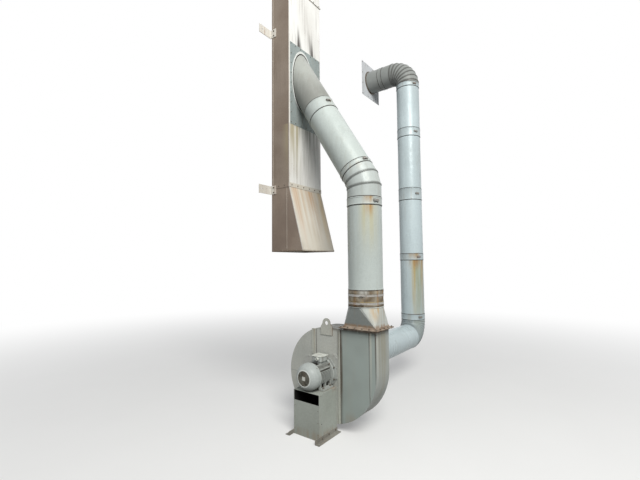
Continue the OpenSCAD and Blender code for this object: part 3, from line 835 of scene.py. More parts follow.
class Finish(Enum):
    """Finishes of the fan, its ducts and the stack."""

    CASING = SplitCoat(
        "casing_enamel", (0.46, 0.47, 0.435), (0.4, 0.415, 0.385), 0.44, dirt=(0.34, 0.3, 0.24),
        dirt_amount=0.12, specks=0.05, dents=0.2, border=0.214, beyond=(0.32, 0.365, 0.345),
        beyond_deep=(0.28, 0.315, 0.295),
        stains=(
            # Painted shadow under the outlet frame.
            Stain(1.03, 0.05, (0.06, 0.048, 0.036), 0.95, streaky=0.4),
            Stain(1.01, 2.4, EDGE_RUST, 1.0, line=(0.2215, 0.148), width=0.022, streaky=0.6),
            Stain(1.01, 1.3, EDGE_RUST, 0.9, line=(0.5475, 0.147), width=0.01, streaky=0.7),
            Stain(1.01, 0.75, (0.52, 0.52, 0.44), 0.6, line=(0.563, 0.148), width=0.016, streaky=0.3),
            Stain(1.01, 0.8, EDGE_RUST, 0.95, line=(0.617, 0.148), width=0.013, streaky=0.5),
            Stain(0.12, 0.12, DUST, 0.5, Flow.RING),
        ))
    WRAP = Coat(
        "scroll_enamel", (0.365, 0.39, 0.375), (0.31, 0.33, 0.315), 0.5, dirt=(0.24, 0.19, 0.13),
        dirt_amount=0.16, specks=0.08, dents=0.3,
        stains=(
            # Painted shadow under the outlet frame.
            Stain(1.035, 0.05, (0.06, 0.048, 0.036), 0.95, streaky=0.4),
            Stain(1.01, 0.7, EDGE_RUST, 0.9, line=(0.617, 0.152), width=0.012, streaky=0.5),
            Stain(1.01, 0.8, (0.54, 0.54, 0.46), 0.55, line=(0.617, 0.185), width=0.03, streaky=0.3),
            Stain(1.01, 0.7, (0.26, 0.2, 0.12), 0.6, line=(0.617, 0.222), width=0.016, streaky=0.8),
            Stain(1.01, 0.95, (0.29, 0.265, 0.18), 0.65, line=(0.617, 0.3), width=0.12, streaky=0.45),
            # Painted shadow over the scroll's lower part, fading upwards.
            Stain(0.0, 0.52, (0.17, 0.16, 0.13), 0.8, Flow.UP, streaky=0.2),
            Stain(1.02, 0.12, (0.4, 0.19, 0.08), 0.8, line=(-0.16, 0.22), width=0.22),
        ))
    COVER = Coat(
        "cover_enamel", (0.44, 0.45, 0.42), (0.38, 0.39, 0.365), 0.42, dirt=(0.3, 0.26, 0.2),
        dirt_amount=0.15, specks=0.05, dents=0.15)
    BARS = TwoFaceCoat(
        "bar_enamel", (0.5, 0.515, 0.46), (0.42, 0.43, 0.385), 0.45, dirt=(0.1, 0.078, 0.055),
        dirt_amount=0.55, specks=0.3, front_tone=(0.075, 0.055, 0.04), front_deep=(0.025, 0.02, 0.016),
        stains=(
            Stain(0.99, 0.6, (0.25, 0.17, 0.09), 0.9, line=(-0.117, 0.14), width=0.01),
        ))
    # The lug's dark +X faces are a painted shadow.
    LUG = TwoFaceCoat(
        "lug_enamel", (0.44, 0.445, 0.4), (0.36, 0.365, 0.33), 0.45, dirt=(0.32, 0.22, 0.14),
        dirt_amount=0.25, specks=0.15, front_tone=(0.17, 0.14, 0.11), front_deep=(0.1, 0.08, 0.06))
    PEDESTAL = HollowCoat(
        "pedestal_enamel", (0.355, 0.38, 0.345), (0.315, 0.335, 0.3), 0.46, dirt=(0.24, 0.2, 0.15),
        dirt_amount=0.12, specks=0.06, dents=0.25,
        stains=(
            Stain(0.03, 0.07, DUST, 0.7, Flow.RING),
            # Painted shadow on the top plate under the motor.
            Stain(0.4335, 0.006, SOOT_AND_SHADOW, 0.75, Flow.RING, (0.0, 0.03), 0.17, streaky=0.2),
            Stain(0.44, 0.06, RUST, 0.7, line=(0.05, 0.15), width=0.2),
            Stain(0.15, 0.1, (0.3, 0.16, 0.08), 0.7, line=(0.162, -0.108), width=0.02),
        ))
    RAILS = Coat(
        "rail_enamel", (0.27, 0.265, 0.235), (0.19, 0.18, 0.155), 0.6, dirt=DUST, dirt_amount=0.7,
        specks=0.3)
    MOTOR = Coat(
        "motor_enamel", (0.4, 0.425, 0.405), (0.33, 0.35, 0.33), 0.45, dirt=(0.12, 0.1, 0.08),
        dirt_amount=0.45, specks=0.06, dents=0.1,
        stains=(
            # Painted shadow at the shield's foot on the pedestal.
            Stain(0.437, 0.035, SOOT_AND_SHADOW, 0.8, Flow.RING, streaky=0.3),
        ))
    # Painted shade between the fins, towards their roots.
    FINS = AxisCoat(
        "fin_enamel", (0.43, 0.455, 0.43), (0.36, 0.38, 0.36), 0.45, dirt=(0.12, 0.1, 0.08),
        dirt_amount=0.3, specks=0.06, dents=0.1)
    # The pale ring at the cowl's rolled lip is a painted highlight.
    COWL = AxisCoat(
        "cowl_enamel", (0.4, 0.432, 0.418), (0.34, 0.365, 0.352), 0.42, dirt=(0.24, 0.22, 0.18),
        dirt_amount=0.2, specks=0.04, dents=0.1, far=0.0855, near=0.082, near_tone=(0.66, 0.69, 0.66),
        near_share=0.75,
        stains=(
            # Painted shadow on the cowl's underside, fading upwards.
            Stain(0.433, 0.075, SOOT_AND_SHADOW, 0.75, Flow.UP, streaky=0.2),
        ))
    LID = Coat(
        "lid_enamel", (0.6, 0.62, 0.575), (0.51, 0.525, 0.485), 0.4, dirt=(0.24, 0.2, 0.15),
        dirt_amount=0.4, specks=0.1, dents=0.08)
    GRILLE = Coat(
        "grille_wire", (0.155, 0.15, 0.125), (0.1, 0.095, 0.078), 0.45, dirt=(0.16, 0.1, 0.05),
        dirt_amount=0.3, specks=0.1)
    FRAMES = Coat(
        "angle_frame_rust", (0.45, 0.375, 0.3), (0.27, 0.2, 0.15), 0.7, broad=12, dirt=(0.13, 0.085, 0.055),
        dirt_amount=0.8, specks=0.5, dents=0.3,
        stains=(
            # Darkened lower leg of the frame: painted shadow, partly dirt.
            Stain(1.0405, 0.042, (0.035, 0.028, 0.022), 0.95, streaky=0.3),
        ))
    # Transition: the pale +X face is a painted lit colour and the grey-green of the other faces a painted
    # shade of the same enamel; the ochre runs are rust.
    HOOD = TwoFaceCoat(
        "transition_enamel", (0.275, 0.3, 0.29), (0.235, 0.255, 0.245), 0.45, dirt=(0.3, 0.24, 0.16),
        dirt_amount=0.25, specks=0.1, dents=0.3, front_tone=(0.53, 0.56, 0.53),
        front_deep=(0.45, 0.46, 0.42),
        stains=(
            Stain(1.065, 0.035, (0.3, 0.19, 0.11), 0.75, Flow.RING),
            Stain(1.25, 0.19, OCHRE, 0.75, line=(0.625, 0.19), width=0.11),
            Stain(1.25, 0.19, (0.3, 0.22, 0.13), 0.6, line=(0.625, 0.36), width=0.07),
        ))
    SLEEVE = Coat(
        "coated_cloth", (0.34, 0.305, 0.24), (0.13, 0.1, 0.065), 0.62, broad=7, dirt=(0.3, 0.17, 0.065),
        dirt_amount=0.8, specks=0.3, dents=0.8,
        stains=(
            # Painted highlight on the sleeve's front.
            Stain(1.43, 0.115, (0.55, 0.56, 0.53), 0.85, line=(0.506, 0.12), width=0.075, streaky=0.5),
            # Painted shadow in the gap under the riser's foot.
            Stain(1.424, 0.012, (0.05, 0.035, 0.025), 0.95, Flow.RING, streaky=0.3),
            Stain(1.305, 0.012, (0.46, 0.34, 0.13), 0.7, Flow.RING, streaky=0.6),
            Stain(1.266, 0.01, (0.07, 0.05, 0.035), 0.9, Flow.RING, streaky=0.4),
        ))
    CLIP = Coat(
        "clip_steel", (0.46, 0.46, 0.44), (0.3, 0.28, 0.25), 0.4, 0.3, dirt=RUST, dirt_amount=0.6,
        specks=0.4)
    # Dark seal rubber of the gland and the entry; also the dark strips at the clamp bands' edges, which are
    # painted shadow of the gaps.
    SEAL_AND_GAP_SHADOW = Coat(
        "seal_rubber_and_gap_shadow", (0.06, 0.058, 0.055), (0.035, 0.033, 0.03), 0.7, broad=20, dirt=(0.12, 0.1, 0.08),
        dirt_amount=0.5, specks=0.0)
    PALE = Coat(
        "rim_zinc", (0.66, 0.68, 0.66), (0.56, 0.58, 0.56), 0.4, dirt=(0.3, 0.28, 0.24), dirt_amount=0.3,
        specks=0.1)
    DUCT = Coat(
        "duct_zinc", (0.485, 0.535, 0.515), (0.43, 0.475, 0.455), 0.31, 0.06, 1.2, dirt=(0.34, 0.34, 0.29),
        dirt_amount=0.22, specks=0.04, mottle=0.02, spangle=0.02, dents=0.3,
        stains=(
            Stain(2.28, 0.62, (0.46, 0.42, 0.24), 0.75, line=(0.565, 0.16), width=0.13, streaky=0.5),
            Stain(2.28, 0.17, (0.36, 0.2, 0.07), 0.9, line=(0.565, 0.16), width=0.07, streaky=0.5),
        ))
    SUCTION = Coat(
        "suction_zinc", (0.54, 0.63, 0.655), (0.47, 0.545, 0.565), 0.3, 0.06, 1.2, dirt=(0.34, 0.34, 0.3),
        dirt_amount=0.2, specks=0.04, mottle=0.02, spangle=0.02, dents=0.3,
        stains=(
            Stain(1.74, 1.5, (0.31, 0.33, 0.2), 0.85, line=(0.144, 2.41), width=0.16, streaky=0.5),
            Stain(1.74, 1.1, (0.48, 0.36, 0.16), 0.9, line=(0.092, 2.362), width=0.045, streaky=0.4),
            Stain(1.74, 1.1, (0.46, 0.35, 0.18), 0.85, line=(0.175, 2.49), width=0.05, streaky=0.4),
            Stain(1.735, 0.2, (0.34, 0.18, 0.07), 0.85, line=(0.13, 2.4), width=0.19, streaky=0.85),
            Stain(0.9, 0.1, (0.33, 0.2, 0.1), 0.6, line=(0.15, 2.42), width=0.15),
        ))
    BEND = Coat(
        "bend_zinc", (0.46, 0.5, 0.485), (0.39, 0.425, 0.41), 0.34, 0.06, 1.6, dirt=(0.3, 0.28, 0.23),
        dirt_amount=0.3, specks=0.08, mottle=0.025, spangle=0.025, dents=0.25)
    BAND = Coat(
        "band_zinc", (0.47, 0.515, 0.5), (0.4, 0.435, 0.415), 0.34, 0.08, dirt=(0.3, 0.24, 0.16),
        dirt_amount=0.35, specks=0.12, mottle=0.025, spangle=0.02, dents=0.15,
        stains=(
            Stain(2.36, 0.11, (0.38, 0.22, 0.07), 0.85, line=(0.565, 0.155), width=0.07, streaky=0.4),
        ))
    SUCTION_BAND = Coat(
        "suction_band_zinc", (0.48, 0.555, 0.575), (0.41, 0.475, 0.49), 0.34, 0.08, dirt=(0.3, 0.25, 0.18),
        dirt_amount=0.3, specks=0.1, mottle=0.025, spangle=0.02, dents=0.15,
        stains=(
            Stain(1.835, 0.14, (0.42, 0.27, 0.11), 0.85, line=(0.1, 2.37), width=0.13, streaky=0.5),
        ))
    # Darker copy of the duct zinc for the top elbow, the wall pipe and its band: painted shade.
    SHADED_ZINC = Coat(
        "shaded_zinc", (0.295, 0.31, 0.3), (0.24, 0.255, 0.245), 0.4, 0.05, 1.6, dirt=(0.22, 0.21, 0.19),
        dirt_amount=0.25, specks=0.06, mottle=0.025, spangle=0.02, dents=0.25)
    ENTRY = Coat(
        "entry_zinc", (0.38, 0.395, 0.37), (0.31, 0.325, 0.3), 0.4, 0.05, 1.6, dirt=(0.26, 0.24, 0.2),
        dirt_amount=0.25, specks=0.06, mottle=0.025, spangle=0.02, dents=0.25,
        stains=(
            Stain(3.55, 0.4, (0.19, 0.19, 0.175), 0.6, Flow.RING, streaky=0.2),
        ))
    LATCH = Coat(
        "latch_steel", (0.33, 0.33, 0.31), (0.2, 0.19, 0.17), 0.42, 0.6, dirt=RUST, dirt_amount=0.6,
        specks=0.4)
    PANEL = Coat(
        "panel_zinc_sheet", (0.3, 0.345, 0.34), (0.24, 0.275, 0.27), 0.5, 0.1, dirt=(0.3, 0.29, 0.24),
        dirt_amount=0.5, specks=0.1, spangle=0.05, dents=0.5)
    # Stack: the white +X front is a painted lit colour with a painted sky reflection, and the brown of the
    # other faces a painted shade of the same paint. The grey runs under the panel and the soot plumes are
    # real.
    STACK = TwoFaceCoat(
        "stack_paint", (0.262, 0.215, 0.175), (0.205, 0.16, 0.125), 0.6, corner_x=STACK_FRONT,
        dirt=(0.14, 0.11, 0.085), dirt_amount=0.35, specks=0.15, dents=0.45, front_tone=(0.8, 0.8, 0.775),
        front_deep=(0.7, 0.69, 0.66),
        stains=(
            Stain(3.29, 0.8, (0.33, 0.32, 0.29), 0.85, line=(STACK_FRONT, 0.36), width=0.34, streaky=0.85),
            Stain(3.29, 0.8, (0.36, 0.31, 0.19), 0.85, line=(STACK_FRONT, 0.13), width=0.16, streaky=0.55),
            Stain(4.266, 0.37, SOOT_AND_SHADOW, 0.95, Flow.UP, (STACK_FRONT, 0.223), 0.075, -0.233),
            Stain(4.266, 0.37, SOOT_AND_SHADOW, 0.95, Flow.UP, (STACK_FRONT, 0.483), 0.075, -0.154),
        ))
    # Hood: the pale +X front is a painted lit colour and the brown of the other faces a painted shade of
    # the same paint; the rust runs are real.
    FLARE = TwoFaceCoat(
        "flare_paint", (0.265, 0.215, 0.175), (0.205, 0.16, 0.13), 0.62, dirt=(0.26, 0.19, 0.13),
        dirt_amount=0.25, specks=0.12, dents=0.4, grain=(0.04, 1, 0.02), corner_x=STACK_FRONT,
        front_tone=(0.64, 0.61, 0.54), front_deep=(0.56, 0.52, 0.44),
        stains=(
            Stain(2.555, 0.9, (0.52, 0.33, 0.19), 0.6, line=(None, 0.125), width=0.07, streaky=0.6),
            Stain(2.555, 0.95, (0.6, 0.42, 0.2), 0.75, line=(None, 0.585), width=0.08, streaky=0.5),
            Stain(2.545, 0.34, (0.5, 0.25, 0.09), 0.8, line=(None, 0.4), width=0.06, streaky=0.5),
            Stain(2.555, 0.75, (0.52, 0.38, 0.25), 0.6, line=(None, 0.33), width=0.3),
            Stain(1.828, 0.022, (0.12, 0.085, 0.06), 0.8, Flow.UP, streaky=0.3),
        ))
    BRACKET = Coat(
        "bracket_paint", (0.62, 0.6, 0.55), (0.5, 0.46, 0.4), 0.6, dirt=RUST, dirt_amount=0.6, specks=0.4)
    PLATE = Coat(
        "plate_paint", (0.66, 0.69, 0.72), (0.57, 0.59, 0.61), 0.5, dirt=(0.3, 0.28, 0.25), dirt_amount=0.4,
        specks=0.15, dents=0.35)
    BOLT = Coat(
        "bolt_steel", (0.2, 0.185, 0.16), (0.11, 0.085, 0.06), 0.5, 0.4, broad=40,
        dirt=(0.16, 0.085, 0.045), dirt_amount=0.6, specks=0.4)

    def on(self, obj: bpy.types.Object) -> None:
        """Gives an object this finish alone."""
        obj.data.materials.clear()
        obj.data.materials.append(self.value.build())


class Frame:
    """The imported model: its nodes by name."""

    def __init__(self) -> None:
        """Loads the frame."""
        self.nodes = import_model()["nodes"]

    def keep(self, finish: Finish, bevel: float, *names: str) -> None:
        """Keeps solids' own meshes: welded, flat faces joined, edges softened.

        Args:
            finish: Their finish.
            bevel: Width that the edges are rounded by.
            names: The solids' nodes.
        """
        for name in names:
            obj = self.nodes[name]
            obj.modifiers.new("weld", "WELD").merge_threshold = 2e-5
            planes = obj.modifiers.new("planes", "DECIMATE")
            planes.decimate_type, planes.angle_limit = "DISSOLVE", math.radians(0.4)
            add_bevel(obj, bevel)
            finish.on(obj)
            log.info("kept %s", name)

    def add(self, form: Form, name: str, slot: str, finish: Finish, *replaced: str,
            **shaping: float) -> bpy.types.Object:
        """Makes a form a finished piece on the root body.

        Args:
            form: The piece's shape.
            name: Its name.
            slot: Not used.
            finish: Its finish.
            replaced: Nodes that the piece stands for.
            shaping: What Form.object takes: sharp_deg, bevel and wall.

        Returns:
            The piece.
        """
        obj = form.object(name, **shaping)
        finish.on(obj)
        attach(obj, "root")
        if replaced:
            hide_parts(*replaced)
        log.info("built %s, %d faces", name, len(obj.data.polygons))
        return obj


@dataclass
class RoundDuct:
    """Sizes of the round duct and the surfaces that it is made of."""

    radius: float = DUCT_R
    wall: float = 0.003
    dent: float = 0.0012
    ridge: float = 0.0012
    lip: float = 0.004
    lip_width: float = 0.0065
    columns: int = 96
    row: float = 0.045
    seam_at: float = 2.6
    seam_width: float = 0.035

    def straight(self, place: Place, length: float, phase: float, start: float = 0.0,
                 cut: np.ndarray | None = None) -> Form:
        """A length of duct with faint dents and a lock seam.

        The radius at angle theta and height s is R - d * (0.5 + 0.5 sin(2 theta
        + phase + 1.3 sin(4 s))) * (0.5 + 0.5 sin(7 s + phase)), and a low ridge
        stands at one angle. The far end may be cut by a plane.

        Args:
            place: Frame whose w is the duct's axis.
            length: Distance of the far end.
            phase: Shift of the dents.
            start: Distance of the near end.
            cut: The far end's distance for each column, when it isn't square.

        Returns:
            The duct's form.
        """
        theta = ring_angles(self.columns)
        share = np.linspace(0, 1, max(8, int((length - start) / self.row)))[:, None]
        end = np.full(theta.shape, length) if cut is None else cut
        s = start + share * (end - start)
        wave = 0.5 + 0.5 * np.sin(2 * theta + phase + 1.3 * np.sin(4 * s))
        dent = self.dent * wave * (0.5 + 0.5 * np.sin(7 * s + phase))
        seam = self.ridge * np.exp(-(((theta - self.seam_at) / self.seam_width) ** 2))
        inner = np.full(theta.shape, self.radius - self.wall)
        radii = np.concatenate([self.radius - dent + seam, inner, inner])
        heights = np.concatenate([s, s[-1:], s[:1]])
        return Form().grid(place.polar(radii, theta, heights), rows_close=True)

    def elbow(self, place: Place, rc: float, angle: float, mitres: int, tail_in: float,
              tail_out: float) -> Form:
        """A gored bend from the frame's w towards its -u.

        Gore i has the axis angle a = i * step. A point of it is the axis point
        plus r (cos theta x_a + sin theta v) + s d_a. At the mitre ahead s is
        (rc + r cos theta) tan(step / 2), behind it the negative. Next to each
        mitre the radius rises to a standing lip.

        Args:
            place: Frame at the bend's start.
            rc: Radius of the bend's centre line.
            angle: Whole angle of the bend.
            mitres: Number of mitres.
            tail_in: Straight length before the bend.
            tail_out: Straight length after it.

        Returns:
            The bend's form.
        """
        theta = ring_angles(self.columns)
        half = angle / mitres / 2

        def ring(i: int, r: np.ndarray, s: np.ndarray | float) -> np.ndarray:
            """Rings of gore i at radius r and distance s."""
            a, x = 2 * half * i, r * np.cos(theta)
            along = (rc + x) * math.cos(a) - rc - s * math.sin(a)
            return place.at(along, r * np.sin(theta), (rc + x) * math.sin(a) + s * math.cos(a))

        def mitred(r: np.ndarray) -> np.ndarray:
            """Distance of the mitre ahead at radius r."""
            return (rc + r * np.cos(theta)) * math.tan(half)

        flat = np.full(theta.shape, self.radius)
        bore = flat - self.wall
        lips = flat + np.array([0.1, 1.0, 1.0, 0.0])[:, None] * self.lip
        behind = np.array([0.0, 0.15, 0.7, 1.0])[:, None] * np.minimum(self.lip_width, 0.42 * mitred(flat))
        behind = behind - mitred(lips)
        clear = np.minimum(0.02, 0.8 * mitred(flat)) - mitred(flat)
        soil = [1.0, 0.7, 0.35, 0.8]
        outer, inner, marks = [ring(0, flat, -tail_in)], [ring(0, bore, -tail_in)], [0.0]
        for i in range(mitres + 1):
            if i > 0:
                outer += [ring(i, lips, behind), ring(i, flat, clear)]
                inner.append(ring(i, bore, -mitred(bore)))
                marks += [*soil, 0.0]
            if i < mitres:
                outer += [ring(i, flat, -clear), ring(i, lips[::-1], -behind[::-1])]
                marks += [0.0, *soil[::-1]]
        outer.append(ring(mitres, flat, tail_out))
        inner.append(ring(mitres, bore, tail_out))
        rows = np.concatenate(outer + inner[::-1])
        grime = np.zeros(len(rows))
        grime[: len(marks)] = marks
        return Form().grid(rows, rows_close=True, mark=grime)


@dataclass
class ClampBand:
    """Beaded band round a joint, closed by a lever latch at an angle.

    The latch's slabs are given by their sizes and the trim of their corners,
    and its pins by u, w and radius.
    """

    frame: Frame
    place: Place
    width: float
    degrees: float
    gap: float = 0.0003
    thick: float = 0.005
    bead: float = 0.012
    # Width of the dark edge strip, a painted shadow of the gap.
    seal: float = 0.009
    ear: Slab = (0.026, 0.03, 0.0045, 0.004)
    ear_u: float = 0.021
    ear_rivet_v: float = 0.01
    ear_rivet_r: float = 0.003
    hinge: Slab = (0.016, 0.024, 0.0075, 0.002)
    pins: tuple[Point, ...] = ((0.014, 0.012, 0.0035), (-0.024, 0.0075, 0.003))
    pin_l: float = 0.032
    bow_l: float = 0.041
    bow_r: float = 0.0016
    bow_v: float = 0.013
    lever_l: float = 0.068
    lever_w: float = 0.018
    lever_t: float = 0.0022
    lever_up: float = 0.0165

    def band(self) -> Form:
        """The band: flat in its middle, a half-round bead at each edge."""
        r0, h = DUCT_R + self.gap, self.width / 2
        t = np.linspace(0, math.pi, 8)
        swell = np.maximum(self.thick * np.sin(t), 0.42 * self.thick * (t > 1.6))
        low = np.stack([-h + self.bead * (1 - np.cos(t)) / 2, r0 + swell], 1)
        profile = np.concatenate([low, low[::-1] * np.array([-1, 1]), [(h, r0), (-h, r0)]])
        return Form().grid(revolve(profile, self.place), rows_close=True)

    def gap_shadow_strips(self) -> Form:
        """A dark strip along each edge of the band: a painted shadow of the gap there."""
        r, h, w = DUCT_R - 0.0005, self.width / 2 - 0.0005, self.seal
        steps = [(h, r), (h, r + 0.0026), (h + 0.7 * w, r + 0.0024), (h + w, r + 0.0008), (h + w, r)]
        form = Form()
        for side in SIDES:
            form.turned([(side * s, radius) for s, radius in steps], self.place, loop=True)
        return form

    def latch(self) -> Form:
        """The latch: two riveted ears, a hinge, a wire bow and a bent lever."""
        form = Form()
        at = self.place.outward(math.radians(self.degrees), DUCT_R + 0.0005)
        for side in SIDES:
            ear = at.moved(side * self.ear_u, 0, 0)
            form.slab(ear, *self.ear)
            for v in SIDES:
                form.rivet(ear.moved(0, v * self.ear_rivet_v, self.ear[2]), self.ear_rivet_r)
            form.rod(at.along_u(-0.026, side * self.bow_v, 0.0075), self.bow_r, self.bow_l, 8)
        form.slab(at.moved(0.008, 0, 0.004), *self.hinge)
        for u, w, radius in self.pins:
            axle = Place(at.at(u, -self.pin_l / 2, w), at.u, -at.w, at.v)
            form.rod(axle, radius, self.pin_l, 12, 0.0006)
        t = np.linspace(0, 1, 9)
        height = self.lever_up - 0.006 * t**2 + 0.0025 * np.sin(math.pi * t)
        top = np.stack([self.lever_l * (t - 0.5), height], 1)
        lever = np.concatenate([top, top[::-1] - np.array([0, self.lever_t])])
        side = Place(at.at(0, self.lever_w / 2, 0), at.u, at.w, -at.v)
        return form.prism(lever, side, self.lever_w)

    def build(self, name: str, node: str, finish: Finish) -> None:
        """Makes the band, its dark edge strips of painted gap shadow and its latch, a piece each.

        Args:
            name: Stem of the pieces' names.
            node: Node that they stand for.
            finish: Finish of the band itself.
        """
        add, slot = self.frame.add, "zinc_dull"
        add(self.band(), f"{name}_band", slot, finish, node)
        # The dark edge strips are a painted shadow of the gaps at the band's edges.
        add(self.gap_shadow_strips(), f"{name}_seal", slot, Finish.SEAL_AND_GAP_SHADOW)
        add(self.latch(), f"{name}_latch", slot, Finish.LATCH, node, bevel=0.0004)


@dataclass
class Pedestal:
    """Sheet pedestal on its two angle rails."""

    frame: Frame
    width: float = 0.320
    depth: float = 0.296
    top: float = 0.433
    rail_t: float = 0.005
    rail_bolt_z: float = 0.024
    rail_bolt_ys: tuple[float, ...] = (-0.11, 0.0, 0.11)
    side_rivet_y: float = 0.12
    side_rivet_down: float = 0.018
    side_rivet_r: float = 0.0045
    front_rivet_x: float = 0.145
    front_rivet_zs: tuple[float, ...] = (0.06, 0.17, 0.28)
    front_rivet_r: float = 0.004

    def build(self) -> None:
        """Dresses the solids and adds the bolts and rivets."""
        keep = self.frame.keep
        keep(Finish.RAILS, 0.0015, "foot_rails")
        keep(Finish.RAILS, 0.001, "base_sheet")
        keep(Finish.PEDESTAL, 0.0015, "pedestal_shell", "pedestal_top")
        keep(Finish.RAILS, 0.0008, "motor_rails")
        form = Form()
        for side in SIDES:
            x, out = side * self.width / 2, (side, 0, 0)
            bolts = [(x + side * self.rail_t, y, self.rail_bolt_z) for y in self.rail_bolt_ys]
            form.fix(Form.bolt, bolts, out, *HEAD_10)
            rivets = [(x, end * self.side_rivet_y, self.top - self.side_rivet_down) for end in SIDES]
            form.fix(Form.rivet, rivets, out, self.side_rivet_r)
            x, y = side * self.front_rivet_x, -self.depth / 2
            rivets = [(x, y, z) for z in self.front_rivet_zs]
            form.fix(Form.rivet, rivets, MOTOR_SIDE, self.front_rivet_r)
        self.frame.add(form, "pedestal_bolts", "rail_paint", Finish.BOLT)


@dataclass
class Motor:
    """Foot-mounted motor: frame, shield, cowl with its grille, and terminal box."""

    frame: Frame
    back_y: float = 0.140
    frame_back: float = 0.120
    frame_front: float = -0.077
    flange_r: float = 0.168
    flange_t: float = 0.010
    flange_bolts_r: float = 0.156
    shield_r: float = 0.142
    shield_l: float = 0.020
    shield_bolts_r: float = 0.128
    flat: float = 0.131
    foot_z: float = 0.450
    foot_x: float = 0.117
    foot_ys: tuple[float, ...] = (-0.018, 0.098)
    cowl_r: float = 0.133
    cowl_l: float = 0.110
    dome_l: float = 0.085
    cowl_t: float = 0.004
    groove: tuple[float, ...] = (0.0035, 0.0045, 0.0075, 0.0085)
    groove_d: float = 0.0012
    screw_s: float = 0.016
    screw_r: float = 0.006
    grille_r: float = 0.073
    wire_r: float = 0.0016
    ring_rs: tuple[float, float] = (0.0235, 0.0665)
    rings: int = 8
    spokes: int = 4
    spoke_r: float = 0.0018
    spoke_l: float = 0.142
    hub: Slab = (0.038, 0.038, 0.003, 0.003)
    box_x: float = 0.018
    box_y: float = -0.006
    box_w: float = 0.130
    box_l: float = 0.124
    lid_z: float = 0.747
    lid_t: float = 0.008
    lid_over: float = 0.012
    lid_step: float = 0.026
    lid_screw_in: float = 0.006
    gland_x: float = 0.018
    gland_z: float = 0.728
    gland_r: float = 0.018
    gland_hex: float = 0.009

    def shaft(self, y: float) -> Place:
        """Frame on the shaft at y, its w towards the cowl."""
        return Place.facing((0, y, SHAFT_Z), MOTOR_SIDE)

    def shield(self) -> None:
        """Drive-end shield: a turned profile whose foot is cut flat at one level.

        Every point below the flat is lifted to it.
        """
        r, thick, end = self.shield_r, self.flange_t, self.shield_l
        steps = [(0, 0), (0, self.flange_r), (thick, self.flange_r), (thick, r), (end - 0.0035, r),
                 (end, r - 0.008), (end, 0)]
        points = revolve(rounded_steps(steps, 0.0015), self.shaft(self.back_y), 120)
        points[..., 2] = np.maximum(points[..., 2], SHAFT_Z - self.flat)
        self.frame.add(Form().grid(points), "shield_and_flange", "motor_paint", Finish.MOTOR,
                       "drive_end_shield")
        form = Form()
        y = self.back_y - thick
        rim = [(x, y, SHAFT_Z + z) for x, z in bolt_circle(8, self.flange_bolts_r) if z > -0.12]
        form.fix(Form.bolt, rim, MOTOR_SIDE, *HEAD_13)
        for a, b in bolt_circle(4, self.shield_bolts_r):
            form.bolt(self.shaft(self.frame_back).moved(a, b, 0), *HEAD_11)
        feet = [(side * self.foot_x, y, self.foot_z) for side in SIDES for y in self.foot_ys]
        form.fix(Form.bolt, feet, UPWARD, *HEAD_17)
        self.frame.add(form, "motor_bolts", "motor_paint", Finish.BOLT)

    def cowl(self) -> None:
        """Fan cowl: straight at the back, then an arc down to the front hole."""
        r, end, t, hole = self.cowl_r, self.cowl_l, self.cowl_t, self.grille_r
        depth = r - hole - 0.004
        bend = (self.dome_l**2 + depth**2) / (2 * depth)
        start = end - self.dome_l

        def dome(first: float, last: float, radius: float) -> np.ndarray:
            """Arc of the dome between two heights."""
            s = np.linspace(first, last, 26)
            return np.stack([s, r - bend + np.sqrt(radius**2 - (s - start) ** 2)], 1)

        deep = (r, r - self.groove_d, r - self.groove_d, r)
        rim = [(0, r), *zip(self.groove, deep)]
        lip = [(end, hole + 0.0015), (end - 0.0015, hole), (end - t, hole)]
        inner = dome(end - t, start, bend - t)
        profile = np.concatenate([rim, dome(start, end, bend), lip, inner, [(0, r - t)]])
        form = Form().grid(revolve(profile, self.shaft(self.frame_front), 128), rows_close=True)
        self.frame.add(form, "domed_cowl", "cowl_paint", Finish.COWL, "fan_cowl")
        form = Form()
        for k in range(4):
            ring = self.shaft(self.frame_front - self.screw_s)
            form.rivet(ring.outward(math.radians(45 + 90 * k), r - 0.0004), self.screw_r)
        self.frame.add(form, "cowl_screws", "cowl_paint", Finish.BOLT)

    def grille(self) -> None:
        """Grille of round wires: rings are tori, spokes are rods, with a hub plate."""
        form = Form()
        place = self.shaft(self.frame_front - self.cowl_l + 0.005)
        t = ring_angles(10)[0]
        for r in np.linspace(*self.ring_rs, self.rings).tolist():
            wire = np.stack([0.002 + self.wire_r * np.cos(t), r + self.wire_r * np.sin(t)], 1)
            form.grid(revolve(wire, place, 72), rows_close=True)
        form.turned([(0, 0.0690), (0, 0.0727), (0.004, 0.0727), (0.004, 0.0690)], place, loop=True)
        for k in range(self.spokes):
            across = place.turned(math.pi * k / self.spokes).along_u(-self.spoke_l / 2, 0, 0.002)
            form.rod(across, self.spoke_r, self.spoke_l, 10)
        self.frame.add(form, "grille_wires", "grille_steel", Finish.GRILLE, "cowl_grille")
        form = Form().slab(place.moved(0, 0, 0.002), *self.hub)
        form.turned([(0.004, 0), (0.004, 0.006), (0.0062, 0.005), (0.0062, 0)], place, 16)
        self.frame.add(form, "hub_plate", "grille_steel", Finish.LID, bevel=0.0005)

